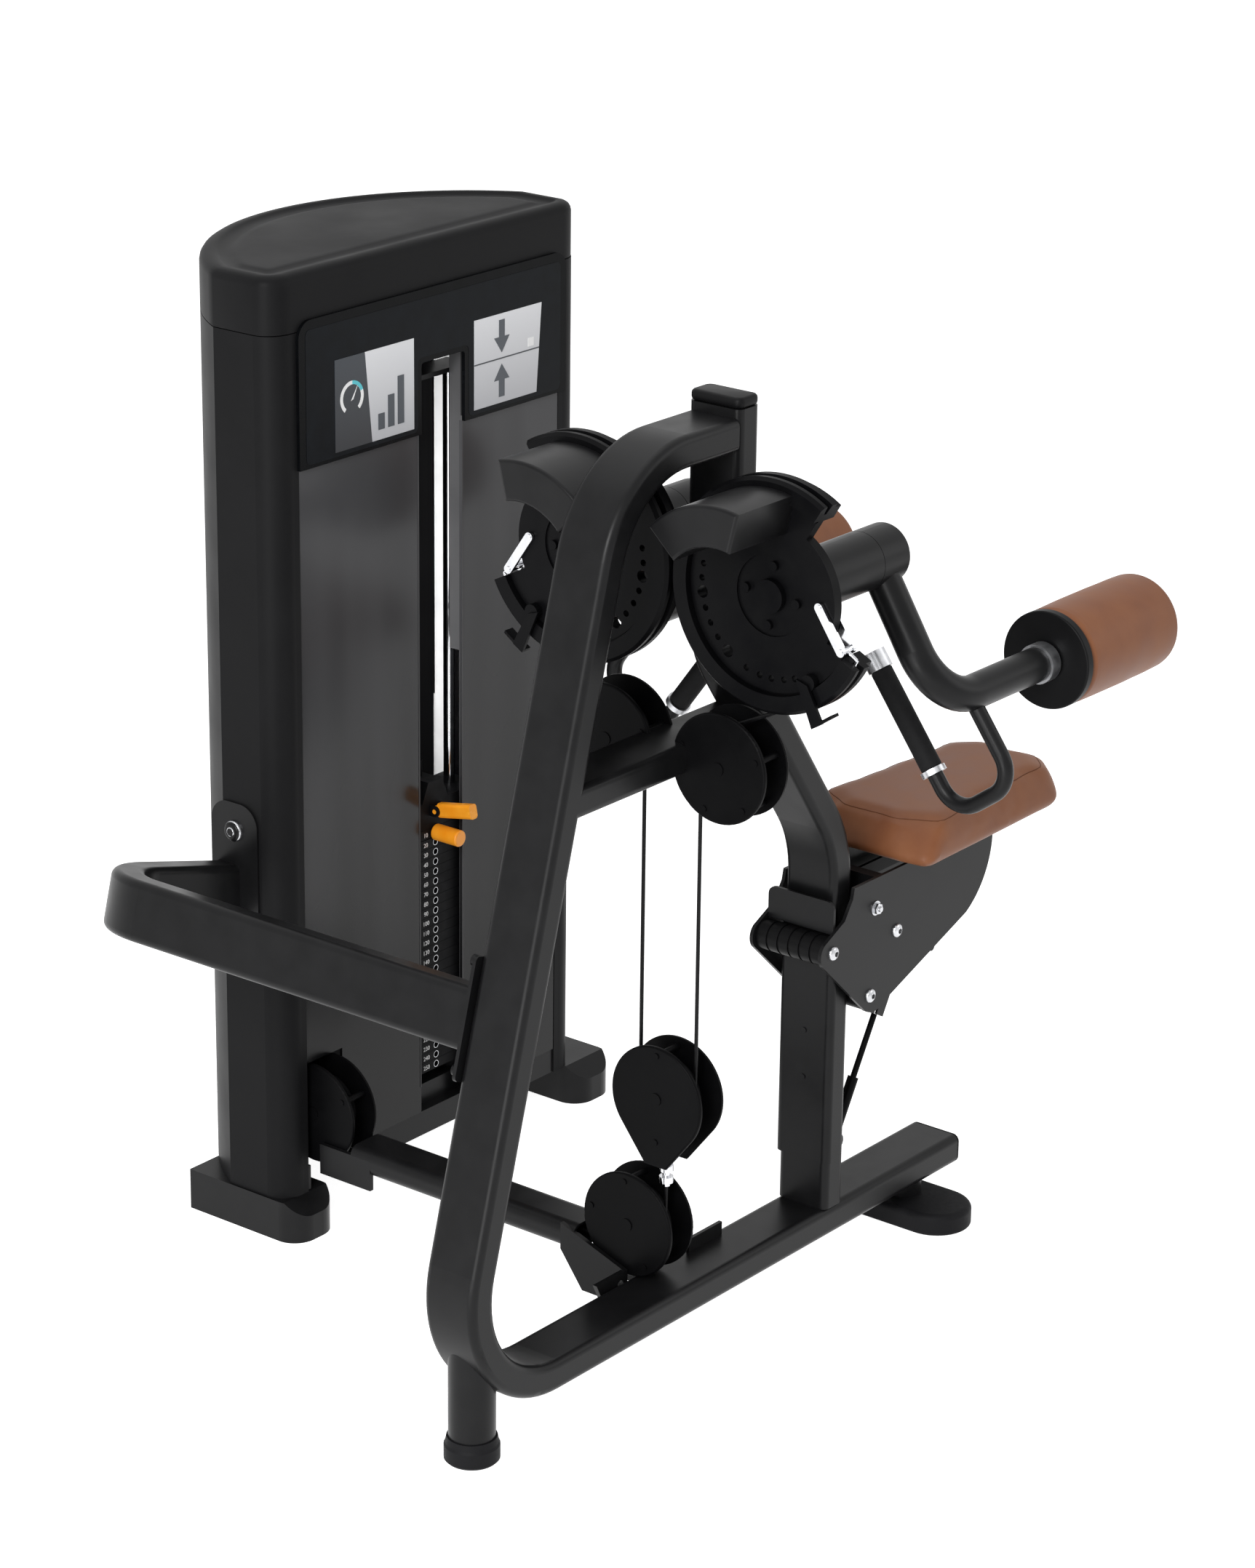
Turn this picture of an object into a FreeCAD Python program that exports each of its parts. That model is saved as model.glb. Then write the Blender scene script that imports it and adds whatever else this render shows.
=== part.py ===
import FreeCAD, Part
import math
import os

os.makedirs("parts", exist_ok=True)
V = FreeCAD.Vector

# Main frame tube, its centre plane is y = 0
TUBE_W = 95.0
TUBE_T = 50.0
TUBE_R = 12.0
BASE_Z = 93.0
BASE_END_X = 1186.0
BEND_LOW_X = 146.0
BEND_LOW_R = 175.0
LEG_LEAN_DEG = 15.55
BEND_TOP_X = 426.5
BEND_TOP_R = 175.0
TOP_TUBE_Z = 1452.0
POST_X = 566.0
POST_RISE = 38.0
POST_TOP_Z = TOP_TUBE_Z + POST_RISE
COLUMN_X = 836.0
NECK_LOW_Z = 737.0
NECK_HIGH_DROP = 334.0
NECK_HIGH_Z = TOP_TUBE_Z - NECK_HIGH_DROP
NECK_BEND_R = 200.0
PIVOT_DROP = 192.0
PIVOT_Z = TOP_TUBE_Z - PIVOT_DROP
UPPER_WHEEL_DROP = 275.0
UPPER_WHEEL_Z = PIVOT_Z - UPPER_WHEEL_DROP
CROSS_LIFT = 1.0
CROSS_Z = UPPER_WHEEL_Z + CROSS_LIFT
CROSS_T = 48.0
CUT_OVERRUN = 5.0
TINY = 0.001

# Feet and tube caps
FRONT_LEG_R = 35.5
FRONT_LEG_Z = 30.0
FOOT_R = 42.0
FOOT_TOP_R = 38.0
FOOT_H = 40.0
FOOT_EDGE = 4.0
REAR_LEG_X = 1100.0
REAR_LEG_R = 30.0
REAR_FOOT_R = 60.0
REAR_FOOT_HALF_Y = 125.0
REAR_FOOT_H = 36.0
REAR_FOOT_DOME = 10.0
REAR_LEG_SINK = 6.0
END_CAP_T = 6.0
END_CAP_R = 4.0
POST_CAP_H = 17.0

# Pivots of the arms, both parallel to x
PIVOT_Y = 178.0
HOUSING_R = 45.5
HOUSING_X0 = 491.5
HOUSING_X1 = 666.5
HUB_X0 = 667.5
HUB_X1 = 734.0
HUB_EDGE = 6.0
SHAFT_R = 20.0
SHAFT_PLAY = 0.05
SHAFT_X0 = 447.0
WEB_X0 = 545.0
WEB_X1 = 587.0
WEB_H = 76.0

# Arm tube, roller axle and roller pad
ARM_R = 27.0
ARM_X = 700.0
ELBOW_Y = 305.0
ELBOW_DROP = 205.0
ELBOW_Z = PIVOT_Z - ELBOW_DROP
ELBOW_BEND_R = 88.0
ARM_END_X = 970.0
COLLAR_R = 31.0
COLLAR_X0 = 956.0
COLLAR_X1 = 978.0
AXLE_R = 12.0
AXLE_END_X = 1262.0
PAD_CAP_R = 77.0
PAD_CAP_T = 14.0
PAD_R = 78.0
PAD_L = 252.0
PAD_CROWN = 3.0
PAD_END_R = 12.0
PAD_X0 = 996.0
AXLE_PLAY = 0.08
END_BUTTON_R = 24.0
END_BUTTON_T = 6.0

# Handle, a bent round tube in one plane under the arm
HANDLE_R = 12.5
HANDLE_X = 784.0
HANDLE_START_DROP = 218.0
HANDLE_K1_DROP = 327.6
HANDLE_K2_DROP = 403.0
HANDLE_END_DROP = 188.0
HANDLE_START = (-308.0, PIVOT_Z - HANDLE_START_DROP)
HANDLE_K1 = (-388.7, PIVOT_Z - HANDLE_K1_DROP)
HANDLE_K2 = (-286.0, PIVOT_Z - HANDLE_K2_DROP)
HANDLE_END = (-128.0, PIVOT_Z - HANDLE_END_DROP)
HANDLE_BEND_R = 45.0
GRIP_R = 17.0
GRIP_FROM = 78.0
GRIP_L = 168.0
GRIP_EDGE = 3.0
RING_R = 20.0
RING_T = 9.0
CAP_T = 8.0

# Cables run in one plane, the wheel radius is to the cable centre
CABLE_X = 458.0
CABLE_R = 3.0
CABLE_CLEAR = 0.5
CAM_CABLE_R = 162.0
WHEEL_R = 52.5
WHEEL_FLANGE = 4.2
WHEEL_T = 20.0
WHEEL_BORE_R = 8.06
AXLE_BOLT_R = 8.0
FLOAT_Z = 430.0
LOW_WHEEL_Z = 205.0
TOWER_WHEEL_Y = 700.0
TOP_BEAM_Z = 1500.0
TOP_WHEEL_DROP = 70.0
TOP_WHEEL_Z = TOP_BEAM_Z - TOP_WHEEL_DROP
STACK_X = 746.0
STACK_END_Z = 715.0
CONNECTOR_END_Z = 277.0

# Cam, angles in degrees seen from the front of the near cam
CAM_R = 175.0
CAM_X0 = 440.0
CAM_X1 = 490.0
CAM_FLANGE_X0 = 452.0
CAM_FLANGE_X1 = 464.0
CAM_FLANGE_X2 = 476.0
CAM_BACK_R = 168.0
CAM_EDGE = 5.0
CAM_PLATE_X0 = 449.0
CAM_PLATE_X1 = 466.0
CAM_SEAM_R0 = 144.0
CAM_SEAM_R1 = 147.0
CAM_SEAM_DEPTH = 3.0
CAM_PLATE_R = 112.0
CAM_RIM_FROM_DEG = -153.0
CAM_RIM_TO_DEG = 122.0
CABLE_LEAD_DEG = 1.8
CAM_RECESS_R = 61.0
CAM_RECESS_D = 3.0
CAM_BOSS_R = 25.0
CAM_BOSS_X = 441.0
CAM_HUB_R = 44.0
CAM_BOLT_RING_R = 45.0
CAM_BOLT_R = 7.0
CAM_BOLT_H = 6.0
CAM_BOLT_DEGS = (5.0, 95.0, 185.0, 275.0)
CAM_HOLE_RING_R = 124.0
CAM_HOLE_R = 5.0
CAM_HOLE_BIG_R = 9.5
CAM_HOLE_DEGS = (11.2, 1.0, -19.8, -30.4, -41.2, -70.8, -82.2, -91.9, -102.3, -111.6)
CAM_BIG_HOLE_DEGS = (-8.7, -52.9)
STOP_R = 12.0
STOP_RING_R = 136.0
STOP_DEG = -124.5
STOP_X0 = 436.0
STOP_BAR = ((-60.0, -108.0), (-80.0, -114.0), (-108.0, -166.0), (-90.0, -177.0))
STOP_BAR_T = 5.0
STOP_LIP = ((-90.0, -177.0), (-125.0, -153.0), (-123.0, -149.0), (-88.0, -173.0))
STOP_LIP_T = 18.0
WEIGHT_R0 = 100.0
WEIGHT_R1 = 162.0
WEIGHT_FROM_DEG = 43.0
WEIGHT_TO_DEG = 104.0
WEIGHT_X0 = 312.0
WEIGHT_EDGE = 5.0

# Cable end fitting, two bars and two pins
END_PIN_R = 88.0
END_PIN_DEG = 179.4
END_BAR_W = 14.0
END_BAR_T = 5.5
END_BAR_GAP = 1.0
END_TIP_R = 140.0
END_TIP_DEG = -156.0
END_PIN_RAD = 5.0

# Guard plates beside every wheel
GUARD_R = 85.0
GUARD_T = 6.0
GUARD_EDGE = 3.0
GUARD_X0 = 428.0
GUARD_X1 = 482.0
GUARD_BOLT_R = 10.0
GUARD_BOLT_H = 1.5
RIVET_R = 5.0
RIVET_RING_R = 71.0
UPPER_RIVET_DEGS = (20.0, 160.0, 230.0, 290.0)
LOW_RIVET_DEGS = (85.0, 10.0, 240.0)
TOWER_RIVET_DEGS = (20.0, 150.0, 300.0)
FLOAT_RIVET_DEGS = (90.0, 270.0)
FLOAT_TAB_Y = 20.0
FLOAT_TAB_DROP = 112.0
CONN_LUG_Y = 12.0
CONN_LUG_TOP = 98.0
CONN_ROD_R = 6.0
CONN_NUT_R = 11.0
CONN_NUT_H = 10.0
CONN_NUTS_Z = (302.0, 283.0)

# Wing plates for the upper wheels
WING_X0 = 488.0
WING_T = 6.0
WING_OUT_Y = 135.0
WING_H = 56.0

# Bracket at the low wheel and the link tube
LINK_W = 80.0
LINK_H = 44.0
LINK_WALL = 4.0
LINK_Y0 = 150.0
LINK_Y1 = 612.0
LINK_CHEEK_T = 8.0
LINK_CHEEK_Y0 = 570.0
LINK_CHEEK_LOW_Z = 108.0
LINK_CHEEK_TOP_Z = 160.0
BRACKET_X0 = 488.0
BRACKET_T = 8.0
BRACKET_TOP_Z = 222.0
BRACKET_LOW_Z = 74.0
BRACKET_TOP_Y = 84.0
GUSSET_FRONT_X = 350.0
GUSSET_FOOT_X = 379.0
GUSSET_TOP_Z = 131.0
GUSSET_LOW_Z = 72.0
GUSSET_T = 8.0
GUSSET_END_Y = 175.0
GUSSET_HOLE_X = 409.0
GUSSET_HOLE_Z = 112.0
GUSSET_HOLE_R = 7.0
TAB_X0 = 556.0
TAB_X1 = 640.0
TAB_Y = 34.0
TAB_T = 6.0
TAB_H = 22.0

# Guard rail around the front of the tower
RAIL_T = 54.0
RAIL_Z = 663.0
RAIL_BACK = 1.0
RAIL_SPLAY = 12.0
RAIL_BEND_R = 105.0
RAIL_FAR_Y = 810.0
RAIL_LUG_T = 4.0
RAIL_LUG_Y0 = 744.0
RAIL_LUG_Y1 = 842.0
RAIL_LUG_Z0 = 505.0
RAIL_LUG_Z1 = 740.0
RAIL_LUG_R = 36.0
RAIL_BOLT_Y = 793.0
RAIL_BOLT_Z = 693.0
RAIL_BOLT_R = 17.0
RAIL_BOLT_H = 9.0
FLANGE_T = 6.0
FLANGE_HALF = 34.0
FLANGE_Z0 = 572.0
FLANGE_Z1 = 758.0
FLANGE_R = 8.0
FLANGE_BOLTS_Z = (585.0, 742.0)
BOLT_R = 9.0
BOLT_H = 24.0

# Seat rack and wear sleeve on the column
RACK_T = 8.0
RACK_PROUD = 12.0
RACK_Z0 = 330.0
RACK_Z1 = 700.0
RACK_PITCH = 24.0
RACK_NOTCH_H = 10.0
RACK_NOTCH_D = 6.0
RACK_COUNT = 14
SLEEVE_T = 4.0
SLEEVE_WRAP = 6.0
SLEEVE_Z0 = 200.0
SLEEVE_Z1 = 604.0
SLEEVE_SCREW_R = 5.0
SLEEVE_SCREWS_Z = (420.0, 340.0)
LUG_X = 893.0
LUG_Z = 200.0
LUG_R = 14.0
LUG_T = 6.0
LUG_GAP = 9.0

# Seat carriage
SIDE_T = 6.0
SIDE_Y = 66.0
ROLLER_FRONT = (782.5, 576.0)
ROLLER_LOW = (886.0, 472.0)
ROLLER_R = 24.2
ROLLER_LOW_R = 24.7
ROLLER_RACK_GAP = 0.6
ROLLER_BORE_R = 7.06
ROLLER_PIN_R = 7.0
ROLLER_GAP = 1.0
ROLLER_RIB_D = 2.0
ROLLER_RIBS = 6
SIDE_FRONT_R = 26.0
SIDE_PTS = ((0, 760, 595), (0, 812, 620), (0, 832, 650), (0, 836, 668), (0, 1218, 668))
SIDE_ARC = ((1218, 668), (1204, 590), (1150, 533))
SIDE_TAIL = ((1150, 533), (932, 452))
SIDE_LOW_ARC = ((932, 452), (905, 441), (876, 448))
SIDE_BACK = ((876, 448), (757, 560))
SIDE_NOSE = ((757, 560), (751, 579), (760, 595))
CARRIAGE_BOLTS = ((894.0, 618.0), (954.0, 562.0))
CARRIAGE_BOLT_R = 8.0
CARRIAGE_BOLT_H = 5.0
CROSS_PLATE_X = 790.0
CROSS_PLATE_T = 5.0
CROSS_PLATE_Z0 = 602.0
CROSS_PLATE_Z1 = 655.0
CROSS_PLATE_R = 14.0
SEAT_PLATE_T = 6.0
SEAT_PLATE_X0 = 985.0
SEAT_PLATE_X1 = 1300.0
SEAT_PLATE_HALF = 78.0
SPREADER_X0 = 905.0
SPREADER_T = 20.0
SPREADER_Z0 = 600.0
SPREADER_Z1 = 664.0

# Seat pad, widths by station from the column side
SEAT_Z0 = 674.0
SEAT_CORNER_R = 20.0
SEAT_TIP_R = 26.0

# Outlines of the seat pad: height over its foot, front x at the middle and at the corners,
# half width there and at the tip, tip x, cut of the tip's corners
SEAT_FOOT = (0.0, 948.0, 952.0, 125.0, 116.0, 1378.0, 58.0)
SEAT_WIDE = (16.0, 940.0, 945.0, 134.0, 126.0, 1394.0, 60.0)
SEAT_SEAM = (62.0, 962.0, 998.0, 123.0, 100.0, 1372.0, 40.0)
SEAT_TOP = (73.0, 986.0, 1020.0, 98.0, 78.0, 1345.0, 36.0)
SEAT_NOSE_SHARE = 0.45

# Seat lever, strut and fork
LEVER_X0 = 940.0
LEVER_X1 = 1205.0
LEVER_Z = 612.0
LEVER_W = 22.0
LEVER_T = 6.0
LEVER_Y = 44.0
LEVER_SHAFT_R = 8.0
LEVER_PLAY = 0.3
LEVER_KNOB_R = 15.0
LEVER_KNOB_L = 46.0
STRUT_TOP = (1000.0, 385.0)
STRUT_R = 5.0
STRUT_TUBE_R = 9.0
FORK_L = 150.0
FORK_W = 20.0
FORK_BAR_Y = 6.5
FORK_BAR_T = 4.0
FORK_PIN_R = 7.0

# Weight tower plan, mirrored about the stack line
TOWER_FRONT_Y = 700.0
TOWER_SIDE_Y = 738.0
TOWER_X = 728.5
TOWER_HALF = 371.5
TOWER_FRONT_HALF = 325.5
TOWER_FRONT_R = 40.0
TOWER_BACK_SIDE_Y = 820.0
TOWER_APEX_Y = 1040.0
TOWER_Z0 = 70.0
TOWER_WALL = 3.0
TOWER_SEAM_Z = 1505.0
CAP_TOP_Z = 1597.0
CAP_EDGE = 18.0
CAP_INSET = 62.0
CAP_DISH_D = 7.0
CAP_WALL = 4.0
FRONT_POST_HALF_X = 314.0
FRONT_OPEN_TOP_Z = 1296.0
FRONT_OPEN_Z0 = 112.0
FRAME_BAR = 50.0
PANEL_X0 = 411.0
PANEL_X1 = 1054.0
PANEL_Z0 = 1288.0
PANEL_Z1 = 1522.0
PANEL_T = 6.0
PANEL_R = 28.0
PANEL_PROUD = 6.0
SLOT_X0 = 695.0
SLOT_X1 = 800.0
SLOT_TOP_Z = 1404.0
SLOT_R = 6.0
SMOKE_T = 5.0
SMOKE_GAP = 0.3
SMOKE_Y = 706.0
SMOKE_NOTCH = 6.0
FRONT_RAIL_H = 44.0
FRONT_RAIL_T = 30.0

# Tower feet
TFOOT_IN_Y = 671.0
TFOOT_BACK_Y = 908.0
TFOOT_LEFT_X = 353.0
TFOOT_RIGHT_X = 1178.0
TFOOT_NOSE_R = 40.0
TFOOT_W = 82.0
TFOOT_WALL_Z = 40.0
TFOOT_TOP_INSET = 22.0

# Weight stack
PLATE_W = 230.0
PLATE_D = 80.0
PLATE_PITCH = 17.3
PLATE_GAP = 0.6
PLATE_EDGE = 3.0
STACK_Y = 752.5
STACK_Z0 = 174.0
REST_COUNT = 24
LIFT_COUNT = 1
GUIDE_R = 9.5
GUIDE_PLAY = 0.05
GUIDE_DX = 82.0
GUIDE_TOP_DROP = 68.0
GUIDE_TOP_Z = TOP_WHEEL_Z - GUIDE_TOP_DROP
GUIDE_PLATE_T = 8.0
GUIDE_PLATE_REACH = 24.0
ROD_R = 12.5
ROD_PLAY = 0.5
ROD_TOP_UP = 34.0
YOKE_R = 9.0
PIN_R = 4.5
PIN_PLAY = 0.06
PIN_KNOB_R = 14.0
PIN_KNOB_L = 54.0
PADDLE_L = 74.0
PADDLE_W = 18.0
PADDLE_H = 25.0
PADDLE_EDGE = 6.0
PADDLE_RISE_DEG = 11.0
PADDLE_HUB_R = 9.0
PADDLE_PIN_R = 4.0
PADDLE_LIFT = 40.0
HEAD_H = 46.0
HEAD_NECK_H = 34.0
HEAD_NECK_HALF0 = 32.0
HEAD_NECK_HALF1 = 17.0
HEAD_CHEEK_T = 4.0
HEAD_CHEEK_GAP = 0.4
BUFFER_R = 24.0
BUFFER_H = 24.0
BEAM_H = 40.0
BEAM_D = 60.0
TOP_BEAM_H = 3.0
WHEEL_HANGER_T = 6.0
WHEEL_HANGER_W = 44.0

LEFT_SIGN = -1.0
RIGHT_SIGN = 1.0


def _half(size):
    return size / 2.0


def _polar(radius, degrees):
    return radius * math.cos(math.radians(degrees)), radius * math.sin(math.radians(degrees))


def _box(x0, x1, y0, y1, z0, z1):
    return Part.makeBox(x1 - x0, y1 - y0, z1 - z0, V(x0, y0, z0))


def _rod(radius, start, end):
    line = V(*end) - V(*start)
    return Part.makeCylinder(radius, line.Length, V(*start), line)


def _rod_x(radius, x0, x1, y, z):
    return _rod(radius, (x0, y, z), (x1, y, z))


def _rod_y(radius, x, y0, y1, z):
    return _rod(radius, (x, y0, z), (x, y1, z))


def _rod_z(radius, x, y, z0, z1):
    return _rod(radius, (x, y, z0), (x, y, z1))


def _join(shapes):
    first = shapes[0]
    whole = first.fuse(shapes[1:]) if len(shapes) > 1 else first
    return whole.removeSplitter()


def _group(shapes):
    return Part.makeCompound([solid for shape in shapes for solid in shape.Solids])


def _mirror(shape):
    return shape.mirror(V(0, 0, 0), V(0, 1, 0))


def _face(points):
    return Part.Face(Part.makePolygon([V(*p) for p in points] + [V(*points[0])]))


def _prism_x(points, x0, x1):
    return _face([(x0, y, z) for y, z in points]).extrude(V(x1 - x0, 0, 0))


def _prism_y(points, y0, y1):
    return _face([(x, y0, z) for x, z in points]).extrude(V(0, y1 - y0, 0))


def _prism_z(points, z0, z1):
    return _face([(x, y, z0) for x, y in points]).extrude(V(0, 0, z1 - z0))


def _soften(shape, radius, axis):
    direction = V(*axis)
    edges = []
    for edge in shape.Edges:
        if isinstance(edge.Curve, Part.Line) and abs(abs(edge.Curve.Direction.dot(direction)) - 1) < 1e-6:
            edges.append(edge)
    return shape.makeFillet(radius, edges)


def _round_rims(shape, radius, limit):
    edges = [edge for edge in shape.Edges if limit(edge)]
    return shape.makeFillet(radius, edges)


def _route(points, radii):
    """Edges of lines and tangent arcs through corner points."""
    spots = [V(*p) for p in points]
    edges = []
    start = spots[0]
    for index in range(1, len(spots) - 1):
        corner = spots[index]
        back = (spots[index - 1] - corner).normalize()
        ahead = (spots[index + 1] - corner).normalize()
        turn = math.pi - back.getAngle(ahead)
        reach = radii[index - 1] * math.tan(turn / 2)
        first = corner + back * reach
        last = corner + ahead * reach
        middle_way = (back + ahead).normalize()
        centre = corner + middle_way * (radii[index - 1] / math.cos(turn / 2))
        middle = centre - middle_way * radii[index - 1]
        if start.distanceToPoint(first) > TINY:
            edges.append(Part.LineSegment(start, first).toShape())
        edges.append(Part.Arc(first, middle, last).toShape())
        start = last
    if start.distanceToPoint(spots[-1]) > TINY:
        edges.append(Part.LineSegment(start, spots[-1]).toShape())
    return Part.Wire(edges)


def _swept(profile, wire):
    return wire.makePipeShell([profile], True, False)


def _round_sweep(radius, wire):
    first = wire.OrderedEdges[0]
    start = first.valueAt(first.FirstParameter)
    way = first.tangentAt(first.FirstParameter)
    ring = Part.Wire(Part.makeCircle(radius, start, way))
    return _swept(ring, wire)


def _flat_section(centre, way, width, thick, radius):
    """Rounded rectangle around centre, wide in y, thick across the way."""
    side = V(0, 1, 0)
    up = side.cross(way).normalize()
    hw = _half(width)
    ht = _half(thick)
    inner_w = hw - radius
    inner_t = ht - radius
    corner = radius * math.sqrt(0.5)
    edges = []
    spots = []
    for sy, st in ((1, 1), (-1, 1), (-1, -1), (1, -1)):
        flat = centre + side * (sy * hw) + up * (st * inner_t)
        tall = centre + side * (sy * inner_w) + up * (st * ht)
        mid = centre + side * (sy * (inner_w + corner)) + up * (st * (inner_t + corner))
        spots.append((flat, mid, tall) if sy * st > 0 else (tall, mid, flat))
    for index, (first, mid, last) in enumerate(spots):
        edges.append(Part.Arc(first, mid, last).toShape())
        edges.append(Part.LineSegment(last, spots[(index + 1) % len(spots)][0]).toShape())
    return Part.Wire(edges)


def _flat_tube(wire, thick):
    first = wire.OrderedEdges[0]
    start = first.valueAt(first.FirstParameter)
    way = first.tangentAt(first.FirstParameter)
    return _swept(_flat_section(start, way, TUBE_W, thick, TUBE_R), wire)


# Frame tubes
def _leg_direction():
    lean = math.radians(LEG_LEAN_DEG)
    return math.sin(lean), math.cos(lean)


def _leg_corners():
    """Corner points of the leg's centre line between base and top tube."""
    dx, dz = _leg_direction()
    turn_low = math.radians(LEG_LEAN_DEG) + math.pi / 2
    low_x = BEND_LOW_X - BEND_LOW_R * math.tan(turn_low / 2)
    turn_top = math.pi / 2 - math.radians(LEG_LEAN_DEG)
    top_x = BEND_TOP_X - BEND_TOP_R * math.tan(turn_top / 2)
    return (low_x, BASE_Z), (top_x, TOP_TUBE_Z)


def _leg_point(z):
    low, top = _leg_corners()
    return low[0] + (top[0] - low[0]) * (z - low[1]) / (top[1] - low[1])


def leg_solid():
    low, top = _leg_corners()
    wire = _route([(BEND_LOW_X + CUT_OVERRUN, 0, BASE_Z), (low[0], 0, low[1]), (top[0], 0, top[1]),
                   (BEND_TOP_X + CUT_OVERRUN, 0, TOP_TUBE_Z)], [BEND_LOW_R, BEND_TOP_R])
    return _flat_tube(wire, TUBE_T)


def leg_tube():
    stub = _rod_z(FRONT_LEG_R, 0, 0, FRONT_LEG_Z, BASE_Z + BEND_LOW_R)
    core = _rod_y(BEND_LOW_R, BEND_LOW_X, -TUBE_W, TUBE_W, BASE_Z + BEND_LOW_R)
    return _join([leg_solid(), stub.cut(core)])


def base_tube():
    wire = Part.Wire(Part.makeLine(V(BEND_LOW_X + CUT_OVERRUN, 0, BASE_Z), V(BASE_END_X, 0, BASE_Z)))
    rear = _rod_z(REAR_LEG_R, REAR_LEG_X, 0, REAR_FOOT_H - REAR_LEG_SINK, BASE_Z)
    return _join([_flat_tube(wire, TUBE_T), rear])


def top_tube():
    wire = Part.Wire(Part.makeLine(V(BEND_TOP_X + CUT_OVERRUN, 0, TOP_TUBE_Z),
                                   V(POST_X - _half(TUBE_T), 0, TOP_TUBE_Z)))
    return _flat_tube(wire, TUBE_T)


def seat_column():
    wire = _route([(COLUMN_X, 0, BASE_Z + _half(TUBE_T)), (COLUMN_X, 0, NECK_LOW_Z),
                   (POST_X, 0, NECK_HIGH_Z), (POST_X, 0, POST_TOP_Z)], [NECK_BEND_R, NECK_BEND_R])
    return _flat_tube(wire, TUBE_T)


def crossbar(column):
    wire = Part.Wire(Part.makeLine(V(_leg_point(CROSS_Z), 0, CROSS_Z), V(COLUMN_X, 0, CROSS_Z)))
    bar = _flat_tube(wire, CROSS_T).cut(leg_solid()).cut(column)
    bar = max(bar.Solids, key=lambda solid: -abs(solid.CenterOfMass.x - CABLE_X))
    return _join([bar] + [upper_wing(sign, bar) for sign in (LEFT_SIGN, RIGHT_SIGN)])


def upper_wing(sign, bar):
    """Plate beside the crossbar with the axle of one upper wheel."""
    inner = _half(TUBE_W) - TUBE_R
    centre = _half(TUBE_W) + WHEEL_R + CUT_OVERRUN
    low = UPPER_WHEEL_Z - _half(WING_H)
    high = UPPER_WHEEL_Z + _half(WING_H)
    ys = sorted((sign * inner, sign * WING_OUT_Y))
    wing = _soften(_box(WING_X0, WING_X0 + WING_T, ys[0], ys[1], low, high), TUBE_R, (1, 0, 0))
    axle = _rod_x(AXLE_BOLT_R, GUARD_X0 + GUARD_T, WING_X0 + WING_T, sign * centre, UPPER_WHEEL_Z)
    return _join([wing, axle]).cut(bar)


def upper_wheel_y():
    return _half(TUBE_W) + WHEEL_R + CUT_OVERRUN


def tube_caps():
    """Domed cap on the post and flat cap on the end of the base tube."""
    post = _swept(_flat_section(V(POST_X, 0, POST_TOP_Z), V(0, 0, 1), TUBE_W, TUBE_T, TUBE_R),
                  Part.Wire(Part.makeLine(V(POST_X, 0, POST_TOP_Z), V(POST_X, 0, POST_TOP_Z + POST_CAP_H))))
    top = POST_TOP_Z + POST_CAP_H
    post = _round_rims(post, TUBE_R - GRIP_EDGE, lambda e: min(v.Z for v in e.Vertexes) > top - CABLE_CLEAR)
    end = _swept(_flat_section(V(BASE_END_X, 0, BASE_Z), V(1, 0, 0), TUBE_W, TUBE_T, TUBE_R),
                 Part.Wire(Part.makeLine(V(BASE_END_X, 0, BASE_Z), V(BASE_END_X + END_CAP_T, 0, BASE_Z))))
    far = BASE_END_X + END_CAP_T
    end = _round_rims(end, END_CAP_R, lambda e: min(v.X for v in e.Vertexes) > far - CABLE_CLEAR)
    return _group([post, end])


def rubber_feet():
    """Round cup under the front leg and wide bar under the rear leg."""
    outline = [(0, 0), (FOOT_R - FOOT_EDGE, 0), (FOOT_R, FOOT_EDGE), (FOOT_R, FRONT_LEG_Z - FOOT_EDGE),
               (FOOT_TOP_R + FOOT_EDGE / 2, FRONT_LEG_Z), (FOOT_TOP_R, FOOT_H), (FRONT_LEG_R, FOOT_H),
               (FRONT_LEG_R, FRONT_LEG_Z), (0, FRONT_LEG_Z)]
    cup = _face([(r, 0, z) for r, z in outline]).revolve(V(0, 0, 0), V(0, 0, 1), 360)
    reach = REAR_FOOT_HALF_Y - REAR_FOOT_R
    bar = _box(REAR_LEG_X - REAR_FOOT_R, REAR_LEG_X + REAR_FOOT_R, -reach, reach, 0, REAR_FOOT_H)
    ends = [_rod_z(REAR_FOOT_R, REAR_LEG_X, sign * reach, 0, REAR_FOOT_H) for sign in (-1, 1)]
    bar = _join([bar] + ends)
    bar = _round_rims(bar, REAR_FOOT_DOME, lambda e: e.BoundBox.ZMin > REAR_FOOT_H - CABLE_CLEAR)
    bar = _round_rims(bar, FOOT_EDGE, lambda e: e.BoundBox.ZMax < CABLE_CLEAR)
    pocket = _rod_z(REAR_LEG_R, REAR_LEG_X, 0, REAR_FOOT_H - REAR_LEG_SINK, REAR_FOOT_H + CUT_OVERRUN)
    return _group([cup, bar.cut(pocket)])


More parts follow.
